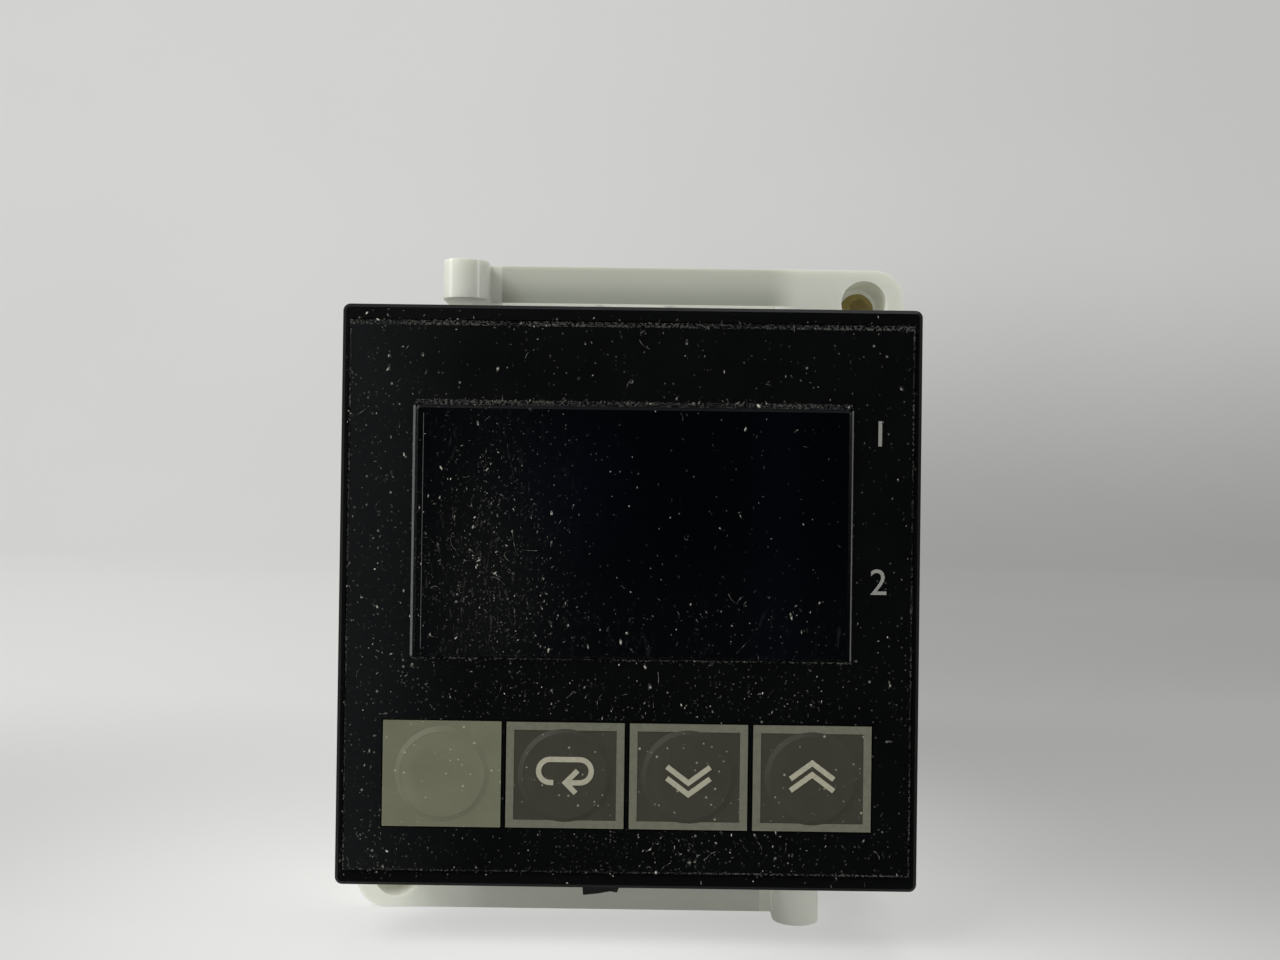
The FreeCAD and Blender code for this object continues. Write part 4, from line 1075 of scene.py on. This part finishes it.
BORDER_INK = PrintInk(shade(103, 103, 89))
SYMBOL_INK = PrintInk(shade(160, 157, 138))
NUMBER_INK = PrintInk(shade(132, 132, 127))
BLOCK_INK = PrintInk(shade(176, 176, 170))
NICKEL = PlatedMetal((0.74, 0.70, 0.60), (0.45, 0.40, 0.30), 0.26)
ZINC = PlatedMetal((0.72, 0.72, 0.70), (0.42, 0.41, 0.38), 0.3)
YELLOW_ZINC = PlatedMetal((0.55, 0.44, 0.19), (0.28, 0.21, 0.08), 0.34)
PRINT_THICK = 0.03


# ---------------------------------------------------------------- front unit
@dataclass
class FrontPanel:
    """Bezel, printed sheet and window, with the two row numbers."""

    number_x: float = 20.5
    number_high: float = 2.1
    upper_z: float = 13.75
    lower_z: float = 1.55

    def build(self) -> None:
        """Dresses the CAD pieces and prints the numbers."""
        dress("front_bezel", BEZEL_PLASTIC)
        soften("front_bezel", 0.08)
        # The second colour greys the film's smears and its painted sheen at the left edge.
        dress("front_sheet", PrintedFilm(shade(3, 4, 5), shade(19, 21, 22), DUST_COLOUR))
        dress("display_window", SmokedWindow(shade(1, 2, 4), shade(3, 6, 16), DUST_COLOUR))
        face = limits("front_sheet")[0][1]
        for text, z in (("1", self.upper_z), ("2", self.lower_z)):
            place = (self.number_x, face - PRINT_THICK / 2, z)
            skin = number(text, self.number_high, place, Facing.FRONT)
            piece = skin.object(f"row_number_{text}", "front_unit")
            coat(piece, NUMBER_INK, piece.name + "_ink")


@dataclass
class KeyRow:
    """The four keys with their borders and symbols."""

    border: float = 0.64
    border_inset: float = 0.02
    stroke: float = 0.43
    chevron_half: float = 1.78
    chevron_rise: float = 1.32
    chevron_step: float = 0.95
    up_drop: float = 0.3
    down_drop: float = 0.2
    loop_half: float = 1.22
    loop_radius: float = 0.95
    loop_middle: float = 0.38
    loop_open: float = 0.28
    loop_end: float = 0.15
    arrow_tip: float = 0.05
    barb: float = 1.0
    lower_barb: float = 0.85
    disc: float = 3.9
    layer: float = 0.2

    def build(self) -> None:
        """Dresses each key with its posts and switch, and prints what it carries."""
        for name in ("level", "mode", "down", "up"):
            low, high = limits(f"{name}_key")
            centre = ((low[0] + high[0]) / 2, (low[2] + high[2]) / 2)
            plain = name == "level"
            dress(f"{name}_key", KeyFilm(KEY_PALE if plain else KEY_DARK, centre, self.disc))
            dress(f"{name}_plunger", WHITE_PLASTIC)
            dress(f"{name}_switch_stem", BLACK_PART)
            dress(f"{name}_switch", BLACK_PART)
            if plain:
                continue
            body = f"{name}_key"
            disc_face = float(low[1])
            flat_face = float(limits("front_sheet")[0][1])
            self._print(self._border(low, high, flat_face), f"{name}_key_border", body, BORDER_INK)
            skins = []
            for layer, line in enumerate(self._symbol(name)):
                face = disc_face - PRINT_THICK * (1 + self.layer * layer)
                skins.append(ribbon(line + np.array(centre), self.stroke, face, PRINT_THICK))
            self._print(Skin.together(skins), f"{name}_key_symbol", body, SYMBOL_INK)

    @staticmethod
    def _print(skin: Skin, name: str, body: str, ink: PrintInk) -> None:
        """Makes one printed piece."""
        piece = skin.object(name, body)
        coat(piece, ink, name + "_ink")

    def _border(self, low: np.ndarray, high: np.ndarray, face: float) -> Skin:
        """The border just inside the key's outline."""
        inset = self.border / 2 + self.border_inset
        x0, x1 = low[0] + inset, high[0] - inset
        z0, z1 = low[2] + inset, high[2] - inset
        corners = np.array([[x0, z0], [x1, z0], [x1, z1], [x0, z1]])
        return ribbon(corners, self.border, face - PRINT_THICK, PRINT_THICK, closed=True)

    def _symbol(self, name: str) -> list[np.ndarray]:
        """Middle lines of a key's symbol, about the key's middle."""
        if name == "mode":
            return self._return_loop()
        way, drop = (1.0, self.up_drop) if name == "up" else (-1.0, self.down_drop)
        half, rise = self.chevron_half, self.chevron_rise
        chevron = np.array([[-half, 0.0], [0.0, rise], [half, 0.0]])
        lines = []
        for step in (self.chevron_step, 0.0):
            raised = chevron + np.array([0.0, step - drop - rise / 2])
            lines.append(raised * np.array([1.0, way]))
        return lines

    def _return_loop(self) -> list[np.ndarray]:
        """A long loop from the lower left, over the top and back to an arrow that points left."""
        low = self.loop_middle - self.loop_radius
        left = arc((-self.loop_half, self.loop_middle), self.loop_radius, 270, 90)
        right = arc((self.loop_half, self.loop_middle), self.loop_radius, 90, -90)
        start, end = [[self.loop_open - self.loop_half, low]], [[self.loop_end, low]]
        tip = np.array([self.arrow_tip, low])
        barbs = np.array([[self.barb, self.barb], [0.0, 0.0], [self.lower_barb, -self.lower_barb]])
        return [np.concatenate([start, left, right, end]), tip + barbs]


@dataclass
class Electronics:
    """Display parts and boards inside the front unit."""

    def build(self) -> None:
        """Dresses every inner piece."""
        resist, track, pad = shade(24, 78, 48), shade(40, 104, 62), shade(196, 186, 150)
        dress("display_holder", WHITE_PLASTIC)
        dress("light_guide", MouldedPlastic(shade(226, 228, 226), rough=0.3, depth=0.004, dust=0.0))
        low, high = limits("display_glass")
        half = ((high[0] - low[0]) / 2, (high[2] - low[2]) / 2)
        centre = ((high[0] + low[0]) / 2, (high[2] + low[2]) / 2)
        dress("display_glass", LiquidCrystal(shade(108, 118, 108), shade(52, 58, 56), half, centre))
        dress("display_board", CircuitBoard((0, 2), resist, track, pad))
        for name in ("control_board", "power_board"):
            dress(name, CircuitBoard((1, 2), resist, track, pad))
            dress(f"{name}_socket", BLACK_PART)
        dress("processor_chip", BLACK_PART)
        for name in ("output_relay", "alarm_relay"):
            dress(name, RELAY_BLUE)
            soften(name, 0.2)
        dress("transformer_core", FERRITE)
        dress("transformer_bobbin", BLACK_PART)
        dress("transformer_winding", WoundTape(shade(206, 172, 70), shade(150, 112, 34)))
        for name in ("mains_capacitor", "output_capacitor"):
            low, high = limits(name)
            axis = ((low[1] + high[1]) / 2, (low[2] + high[2]) / 2)
            dress(name, ShrinkSleeve(shade(30, 42, 66), shade(170, 172, 176), axis, high[0]))
        dress("board_spacer", WHITE_PLASTIC)


@dataclass(frozen=True)
class DustPatch:
    """A stretch of the front on which dust lies: a bell curve across times a bell curve up."""

    thick: float
    x: float = 0.0
    x_reach: float = math.inf
    z: float = 0.0
    z_reach: float = math.inf

    def at(self, x: np.ndarray, z: np.ndarray) -> np.ndarray:
        """Thickness of the dust at each place."""
        across, up = (x - self.x) / self.x_reach, (z - self.z) / self.z_reach
        return self.thick * np.exp(-(across**2) - up**2)


@dataclass
class FrontDust:
    """Grains, fibres and lines of dust that lie on the front, and painted highlights on the window's edges.
    """

    seed: int = 11
    grains: int = 3300
    fibres: int = 60
    grain_long: float = 0.05
    grain_wide: float = 0.032
    grain_sides: int = 6
    grain_rough: float = 0.3
    grain_spread: float = 0.45
    grain_stretch: tuple[float, float] = (0.6, 2.2)
    grain_turn: float = 0.7
    grain_high: float = 0.4
    grain_rings: tuple[tuple[float, float], ...] = ((1.0, 0.01), (0.55, 1.0), (0.05, 1.3))
    fibre_radius: float = 0.014
    fibre_turn: float = 0.8
    fibre_long: tuple[float, float] = (0.35, 1.3)
    fibre_bend: float = 0.9
    fibre_points: int = 9
    line_width: float = 0.14
    band_width: float = 0.26
    # Widths of the painted highlights on the window's edges.
    left_edge: float = 0.18
    right_edge: float = 0.1
    inner_edge: float = 0.026
    inner_gap: float = 0.72
    end_gap: float = 0.1
    window_middle: tuple[float, float] = (0.2, 5.3)
    window_half: tuple[float, float] = (18.0, 10.4)
    window_lip: float = 0.3
    clear: float = 0.1
    margin: float = 0.4
    tries: int = 40
    thinnest: float = 0.1
    thickest: float = 4.0
    patches: tuple[DustPatch, ...] = (
        DustPatch(1.2, -11.5, 4.5, 3.0, 6.5),
        DustPatch(0.28, -4.0, 11.0, -2.0, 2.4),
        DustPatch(0.8, 4.0, 11.0, -20.4, 1.3),
        DustPatch(0.4, x=-20.5, x_reach=2.2),
        DustPatch(6.0, -11.8, 0.5, 10.7, 0.4),
        DustPatch(4.0, 8.9, 0.35, -0.2, 0.6),
        DustPatch(4.0, 5.5, 0.9, -21.6, 0.5),
        DustPatch(1.1, z=22.5, z_reach=0.35),
        DustPatch(0.9, z=-22.5, z_reach=0.25),
    )
    window_rows: tuple[DustPatch, ...] = (
        DustPatch(0.45, z=-8.2, z_reach=1.6),
        DustPatch(1.9, z=16.0, z_reach=0.25),
        DustPatch(1.2, z=-5.3, z_reach=0.2),
    )
    chosen_fibres: tuple[tuple[float, float, float, float], ...] = (
        (8.9, -0.4, 2.3, 1.1),
        (8.9, -0.4, 0.9, 0.8),
        (-10.7, -8.4, 1.3, 1.3),
        (2.5, -7.3, 1.6, 1.2),
        (-0.4, 17.1, 1.1, 1.0),
        (-7.5, -20.0, 1.2, 1.5),
        (-9.3, 3.6, 1.75, 1.9),
        (-12.9, 7.1, 1.5, 1.2),
        (-14.6, 6.4, 1.6, 1.0),
        (13.1, -20.9, 1.5, 0.9),
        (-8.8, 19.6, 0.9, 0.8),
        (4.2, 14.6, 1.9, 0.7),
    )

    def build(self) -> None:
        """Scatters the grains, lays the fibres and the lines, and paints highlights on the window's upright
        edges.
        """
        draw = np.random.default_rng(self.seed)
        grain = FineDust(shade(30, 31, 30), shade(190, 188, 177), 5.5)
        fibre = FineDust(shade(30, 31, 30), shade(140, 139, 130), 2.0)
        self._lay(self._grains(draw), "front_dust", grain, 80)
        self._lay(self._fibres(draw), "front_lint", fibre, 80)
        self._lay(self._lines(), "edge_dust", DustLine(shade(78, 79, 74), 0.3), 80)
        # Painted highlights, as light caught on the window's edges.
        self._lay(self._edges(), "window_edges", PrintInk(shade(100, 102, 101)))

    @staticmethod
    def _lay(skin: Skin, name: str, finish: Finish, smooth: float = 40.0) -> None:
        """Makes one piece of dust that rides the front unit."""
        coat(skin.object(name, "front_unit", smooth), finish, name + "_finish")

    def _lines(self) -> Skin:
        """Dust in the corner round the window and in the groove round the sheet."""
        low, high = limits("front_sheet")
        middle, half = (high + low) / 2, (high - low) / 2
        window = (*self.window_middle, *self.window_half)
        sheet = (middle[0], middle[2], half[0], half[2])
        face = low[1] - PRINT_THICK
        lines = []
        for (x, z, half_x, half_z), side in ((window, 1), (sheet, -1)):
            out = side * self.line_width / 2
            corner = np.array([[-1, -1], [1, -1], [1, 1], [-1, 1]]) * (half_x + out, half_z + out)
            lines.append(ribbon(corner + np.array([x, z]), self.line_width, face, PRINT_THICK, closed=True))
            top = np.array([[x - half_x, z + half_z + out * 4], [x + half_x, z + half_z + out * 4]])
            lines.append(ribbon(top, self.band_width, face + PRINT_THICK * 0.2, PRINT_THICK * 0.6))
        return Skin.together(lines)

    def _edges(self) -> Skin:
        """Painted highlights: pale lines on the window's upright edges, and a fine one inside its left
        edge.
        """
        face = limits("front_sheet")[0][1] - PRINT_THICK * 1.3
        x, z = self.window_middle
        half_x, half_z = self.window_half
        rules = []
        for side, width in ((-1, self.left_edge), (1, self.right_edge)):
            across = x + side * (half_x + width / 2)
            rule = np.array([[across, z - half_z + self.end_gap], [across, z + half_z - self.end_gap]])
            rules.append(ribbon(rule, width, face, PRINT_THICK))
        inner = x - half_x + self.inner_gap
        rule = np.array([[inner, z - half_z + self.inner_gap], [inner, z + half_z - self.inner_gap]])
        glass = limits("display_window")[0][1] - PRINT_THICK
        rules.append(ribbon(rule, self.inner_edge, glass, PRINT_THICK))
        return Skin.together(rules)

    def _level(self, x: np.ndarray, z: np.ndarray) -> np.ndarray:
        """Y of the front's surface at each place: the window, the sheet or the bezel's rim."""
        middle, half, lip = self.window_middle, self.window_half, self.window_lip
        window = (np.abs(x - middle[0]) < half[0] - lip) & (np.abs(z - middle[1]) < half[1] - lip)
        low, high = limits("front_sheet")
        sheet = (x > low[0]) & (x < high[0]) & (z > low[2]) & (z < high[2])
        levels = [limits("display_window")[0][1], low[1]]
        return np.select([window, sheet], levels, limits("front_bezel")[0][1])

    def _thickness(self, x: np.ndarray, z: np.ndarray) -> np.ndarray:
        """How thick the dust lies at each place: the sum of the patches, and of the window's rows."""
        inside = (np.abs(x - self.window_middle[0]) < self.window_half[0]).astype(float)
        rows = sum(patch.at(x, z) for patch in self.window_rows)
        return self.thinnest + sum(patch.at(x, z) for patch in self.patches) + rows * inside

    def _off_keys(self, x: np.ndarray, z: np.ndarray) -> np.ndarray:
        """Whether each place is clear of the moving keys."""
        low = limits("level_key")[0] - self.clear
        high = limits("up_key")[1] + self.clear
        return ~((x > low[0]) & (x < high[0]) & (z > low[2]) & (z < high[2]))

    def _places(self, draw: np.random.Generator, count: int) -> tuple[np.ndarray, np.ndarray]:
        """Draws places on the front, where the dust lies thick more often."""
        low, high = limits("front_bezel")
        tries = count * self.tries
        x = draw.uniform(low[0] + self.margin, high[0] - self.margin, tries)
        z = draw.uniform(low[2] + self.margin, high[2] - self.margin, tries)
        drawn = draw.uniform(0, self.thickest, tries)
        kept = (drawn < self._thickness(x, z)) & self._off_keys(x, z)
        return x[kept][:count], z[kept][:count]

    def _grains(self, draw: np.random.Generator) -> Skin:
        """Low six-sided mounds, each with its own length, width and turn.

        A mound is a base ring, a top ring of half its width, and one point over them, stretched along
        its own direction and lying on the surface.
        """
        x, z = self._places(draw, self.grains)
        count = len(x)
        shape = (count, self.grain_sides)
        corners = np.linspace(0, 2 * math.pi, self.grain_sides, endpoint=False)
        radius = 1 + draw.uniform(-self.grain_rough, self.grain_rough, shape)
        size = draw.lognormal(0.0, self.grain_spread, count)
        long = self.grain_long * size * draw.uniform(*self.grain_stretch, count)
        wide = self.grain_wide * size
        turn = draw.normal(math.pi / 2, self.grain_turn, count)
        flat_u = radius * np.cos(corners) * long[:, None]
        flat_v = radius * np.sin(corners) * wide[:, None]
        east = flat_u * np.cos(turn)[:, None] - flat_v * np.sin(turn)[:, None]
        north = flat_u * np.sin(turn)[:, None] + flat_v * np.cos(turn)[:, None]
        level = self._level(x, z)
        lift = self.grain_high * wide
        rings = []
        for share, rise in self.grain_rings:
            height = np.broadcast_to((level - lift * rise)[:, None], shape)
            rings.append(np.stack([x[:, None] + east * share, height, z[:, None] + north * share], axis=-1))
        grid = np.stack(rings, axis=1)
        pattern = Skin.over(grid[0])
        step = len(pattern.points)
        faces = [tuple(i + k * step for i in face) for k in range(count) for face in pattern.faces]
        return Skin(grid.reshape(-1, 3), faces)

    def _fibres(self, draw: np.random.Generator) -> Skin:
        """Fine curved fibres: a few at fixed places, and more at random ones.

        A fibre of length L and bend b is the curve s along its direction and b s (1 - s / L) across it.
        """
        x, z = self._places(draw, self.fibres)
        turns = draw.normal(math.pi / 2, self.fibre_turn, len(x))
        longs = draw.uniform(*self.fibre_long, len(x))
        shapes = [*zip(x, z, turns, longs), *self.chosen_fibres]
        along = np.linspace(0, 1, self.fibre_points)
        fibres = []
        for east, north, turn, long in shapes:
            bend = draw.uniform(-self.fibre_bend, self.fibre_bend)
            s = along * long
            side = bend * s * (1 - along)
            px = east + s * math.cos(turn) - side * math.sin(turn)
            pz = north + s * math.sin(turn) + side * math.cos(turn)
            py = self._level(px, pz) - self.fibre_radius * 1.2
            if self._off_keys(px, pz).all():
                level = np.full(self.fibre_points, py.min())
                fibres.append(tube(np.stack([px, level, pz], axis=-1), self.fibre_radius))
        return Skin.together(fibres)


# ---------------------------------------------------------------- case and terminals
@dataclass
class RearCase:
    """Square case and the packing behind its flange."""

    def build(self) -> None:
        """Dresses both pieces."""
        dress("rear_case", BLACK_PLASTIC)
        dress("panel_packing", RUBBER)


@dataclass
class TerminalBlock:
    """Terminal block with its plates, washers, screws and plain numbers."""

    digit: float = 1.5
    outer_x: float = 20.6
    middle_x: float = 5.55
    middle_share: float = 0.7
    seat: float = 7.0
    column_pitch: float = 13.0
    head_high: float = 2.2
    plate_thick: float = 0.8
    rows: int = 5

    def build(self) -> None:
        """Dresses the CAD pieces, cuts the screws and prints the numbers."""
        dress("terminal_block", BLOCK_PLASTIC)
        for side in ("left", "middle", "right"):
            dress(f"{side}_terminal_plates", NICKEL)
        dress("terminal_washers", ZINC)
        soften("terminal_washers", 0.12)
        self._screws()
        self._numbers()

    def _rows(self) -> np.ndarray:
        """Heights of the rows."""
        low, high = limits("left_terminal_plates")
        return np.linspace(low[2] + self.seat / 2, high[2] - self.seat / 2, self.rows)

    def _screws(self) -> None:
        """One piece of fifteen threaded screws, at the CAD screws' places."""
        outer_under = limits("left_terminal_plates")[1][1] + self.plate_thick
        step = limits("terminal_screws")[1][1] - self.head_high - outer_under
        washer_top = limits("terminal_washers")[1][1]
        form = ThreadedScrew(radius=1.75, length=6.0, pitch=0.6, head=3.1, high=self.head_high, steps=4)
        shifts = []
        for column in (-1, 0, 1):
            top = washer_top - (step if column else 0.0)
            shifts += [(column * self.column_pitch, top, z) for z in self._rows()]
        piece = form.skin().copied(np.array(shifts)).object("terminal_screw_set", "rear_case")
        coat(piece, ZINC, "terminal_screw_finish")
        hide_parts("terminal_screws")

    def _numbers(self) -> None:
        """Numbers 1 to 15 beside the terminals, read from the rear."""
        outer, middle = (
            float(limits(f"{side}_terminal_plates")[1][1] - self.plate_thick + DIGIT_THICK / 2)
            for side in ("left", "middle")
        )
        columns = (
            (self.outer_x, outer, self.digit),
            (self.middle_x, middle, self.digit * self.middle_share),
            (-self.outer_x, outer, self.digit),
        )
        skins = []
        for column, (x, face, size) in enumerate(columns):
            for row, z in enumerate(self._rows()[::-1]):
                count = column * self.rows + row + 1
                skins.append(number(str(count), size, (x, face, z), Facing.REAR))
        piece = Skin.together(skins).object("terminal_numbers", "rear_case")
        coat(piece, BLOCK_INK, "terminal_numbers_ink")


# ---------------------------------------------------------------- adapter
@dataclass
class MountingAdapter:
    """Slide-on adapter and its two clamp screws."""

    foot_x: float = 12.0
    block_x: float = 12.8
    leaf_depth: float = 5.4
    pocket: tuple[float, float, float] = (20.8, 26.0, 2.05)

    def build(self) -> None:
        """Dresses the adapter and cuts the clamp screws."""
        # The lit colour of the thick plastic, and the painted shade of the thin springs.
        thick, thin = shade(211, 213, 202), shade(166, 169, 155)
        nylon = NaturalNylon(thick, thin, self.foot_x, self.block_x, self.leaf_depth, self.pocket)
        dress("adapter_frame", nylon)
        form = ThreadedScrew(radius=1.5, length=20.0, pitch=0.5, head=2.75, high=2.0, steps=6)
        for side in ("upper", "lower"):
            node = f"{side}_clamp_screw"
            low, high = limits(node)
            middle = (low + high) / 2
            shift = np.array([[middle[0], high[1] - form.high, middle[2]]])
            piece = form.skin().copied(shift).object(f"{node}_cut", node)
            coat(piece, YELLOW_ZINC, f"{node}_finish")
            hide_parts(node)


# ---------------------------------------------------------------- studio
@dataclass(frozen=True)
class Lamp:
    """A soft rectangular lamp that looks at the object."""

    name: str
    place: tuple[float, float, float]
    size: tuple[float, float]
    power: float

    def build(self, aim: Vector) -> None:
        """Hangs the lamp and turns it to the aim."""
        data = bpy.data.lights.new(self.name, "AREA")
        data.shape = "RECTANGLE"
        data.size, data.size_y = self.size
        data.energy = self.power
        lamp = bpy.data.objects.new(self.name, data)
        lamp.location = self.place
        lamp.rotation_euler = (aim - lamp.location).to_track_quat("-Z", "Y").to_euler()
        lamp.visible_camera = False
        bpy.context.scene.collection.objects.link(lamp)


FLOOR_GAP = 0.1  # between the floor and the lowest piece, in millimetres


@dataclass
class Studio:
    """Pale sweep, lamps, black card, sky and camera. Places are in metres."""

    sweep_half: float = 2.6
    sweep_front: float = -1.4
    sweep_back: float = 0.95
    sweep_high: float = 1.5
    bend: float = 0.35
    card_left: float = -0.38
    card_right: float = 1.0
    card_near: float = -0.01
    card_far: float = -0.45
    card_high: float = 0.8
    lens: float = 37.428
    sensor: float = 36.0
    camera_place: tuple[float, float, float] = (1.05 * MM, -116.4 * MM, 8.84 * MM)
    yaw: float = 0.147
    pitch: float = 0.442
    roll: float = 0.770
    world_level: float = 0.56
    world_seen: Colour = shade(208, 209, 206)
    aim: tuple[float, float, float] = (0.0, 0.03, 0.0)
    lamps: tuple[Lamp, ...] = (
        Lamp("key_lamp", (-0.5, -0.34, 0.55), (0.5, 0.5), 4.8),
        Lamp("left_strip", (-0.6, -0.13, 0.2), (0.1, 0.28), 0.7),
        Lamp("right_strip", (0.6, -0.18, 0.2), (0.08, 0.28), 0.6),
        Lamp("overhead_lamp", (0.2, 0.35, 0.9), (0.6, 0.6), 3.0),
    )

    def build(self, floor: float) -> None:
        """Sets everything round the object.

        Args:
            floor: Height of the floor.
        """
        self._sweep(floor)
        self._card(floor)
        self._world()
        for lamp in self.lamps:
            lamp.build(Vector(self.aim))
        self._camera()
        bpy.context.scene.view_settings.view_transform = "Standard"

    def _sweep(self, floor: float) -> None:
        """A seamless sweep.

        Its profile runs along the floor, turns up through a quarter circle and rises as a wall, and is
        carried from left to right.
        """
        turn = np.linspace(0, math.pi / 2, 17)
        bend_y = self.sweep_back - self.bend + self.bend * np.sin(turn)
        bend_z = floor + self.bend - self.bend * np.cos(turn)
        y = np.concatenate([[self.sweep_front], bend_y, [self.sweep_back]])
        z = np.concatenate([[floor], bend_z, [self.sweep_high]])
        x = np.array([-self.sweep_half, self.sweep_half])
        grid = np.stack(np.broadcast_arrays(x[:, None], y[None, :], z[None, :]), axis=-1)
        sweep = self._stage_object("sweep", Skin.over(grid / MM, Shell.OPEN))
        eye = (self.camera_place[1] / MM, self.camera_place[2] / MM)
        paper = StudioPaper(
            # Lit tones of the paper, and its even colours, the right one darker as painted shade.
            light=shade(236, 237, 235),
            dark=shade(176, 176, 172),
            left=shade(225, 226, 224),
            right=shade(200, 201, 198),
            eye=eye,
        )
        sweep.data.materials.append(paper.material("studio_paper"))
        sweep.data.shade_smooth()

    @staticmethod
    def _stage_object(name: str, skin: Skin) -> bpy.types.Object:
        """An object of the studio, declared as no part of the controller."""
        mesh = bpy.data.meshes.new(name)
        mesh.from_pydata((skin.points * MM).tolist(), [], skin.faces)
        made = bpy.data.objects.new(name, mesh)
        bpy.context.scene.collection.objects.link(made)
        made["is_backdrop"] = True
        return made

    def _card(self, floor: float) -> None:
        """A black card that lies in front and stands up behind the camera, seen by reflections alone.

        Args:
            floor: Height of the floor.
        """
        x = np.array([self.card_left, self.card_right])
        y = np.array([self.card_near, self.card_far, self.card_far])
        z = np.array([floor + MM, floor + MM, self.card_high])
        grid = np.stack(np.broadcast_arrays(x[:, None], y[None, :], z[None, :]), axis=-1)
        card = self._stage_object("black_card", Skin.over(grid / MM, Shell.OPEN))
        sheet = Sheet("black_card_paint")
        card.data.materials.append(sheet.finish(Base_Color=(0.004, 0.004, 0.004), Roughness=0.9))
        card.visible_camera = False
        card.visible_diffuse = False
        card.visible_shadow = False
        card.visible_transmission = False

    def _world(self) -> None:
        """An even pale sky."""
        world = bpy.data.worlds.new("studio")
        world.use_nodes = True
        tree = world.node_tree
        sky = tree.nodes["Background"]
        sky.inputs["Color"].default_value = (1.0, 1.0, 1.0, 1.0)
        sky.inputs["Strength"].default_value = self.world_level
        seen = tree.nodes.new("ShaderNodeBackground")
        seen.inputs["Color"].default_value = (*self.world_seen, 1.0)
        choice = tree.nodes.new("ShaderNodeMixShader")
        rays = tree.nodes.new("ShaderNodeLightPath")
        tree.links.new(rays.outputs["Is Camera Ray"], choice.inputs["Fac"])
        tree.links.new(sky.outputs[0], choice.inputs[1])
        tree.links.new(seen.outputs[0], choice.inputs[2])
        tree.links.new(choice.outputs[0], tree.nodes["World Output"].inputs["Surface"])
        bpy.context.scene.world = world

    def _camera(self) -> None:
        """The camera in front, turned by yaw, then pitch, then roll."""
        yaw, pitch, roll = (math.radians(a) for a in (self.yaw, self.pitch, self.roll))
        level_right = Vector((math.cos(yaw), math.sin(yaw), 0.0))
        level_ahead = Vector((-math.sin(yaw), math.cos(yaw), 0.0))
        ahead = level_ahead * math.cos(pitch) + Vector((0, 0, 1)) * math.sin(pitch)
        upright = Vector((0, 0, 1)) * math.cos(pitch) - level_ahead * math.sin(pitch)
        right = level_right * math.cos(roll) + upright * math.sin(roll)
        up = upright * math.cos(roll) - level_right * math.sin(roll)
        data = bpy.data.cameras.new("front_camera")
        data.lens = self.lens
        data.sensor_width = self.sensor
        data.clip_start = 0.01
        data.clip_end = 20.0
        camera = bpy.data.objects.new("front_camera", data)
        axes = Matrix((right, up, -ahead)).transposed()
        camera.matrix_world = Matrix.Translation(self.camera_place) @ axes.to_4x4()
        bpy.context.scene.collection.objects.link(camera)
        bpy.context.scene.camera = camera


def corners(box: tuple[Vector, Vector]) -> list[list[float]]:
    """A box's two corners as plain lists."""
    return [list(box[0]), list(box[1])]


def main() -> None:
    """Loads the frame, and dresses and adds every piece."""
    logging.basicConfig(level=logging.INFO, format="%(name)s: %(message)s")
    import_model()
    cad_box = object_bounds()
    for group in (
        FrontPanel(),
        KeyRow(),
        Electronics(),
        FrontDust(),
        RearCase(),
        TerminalBlock(),
        MountingAdapter(),
    ):
        group.build()
    Studio().build(cad_box[0].z - FLOOR_GAP * MM)


if __name__ == "__main__":
    main()
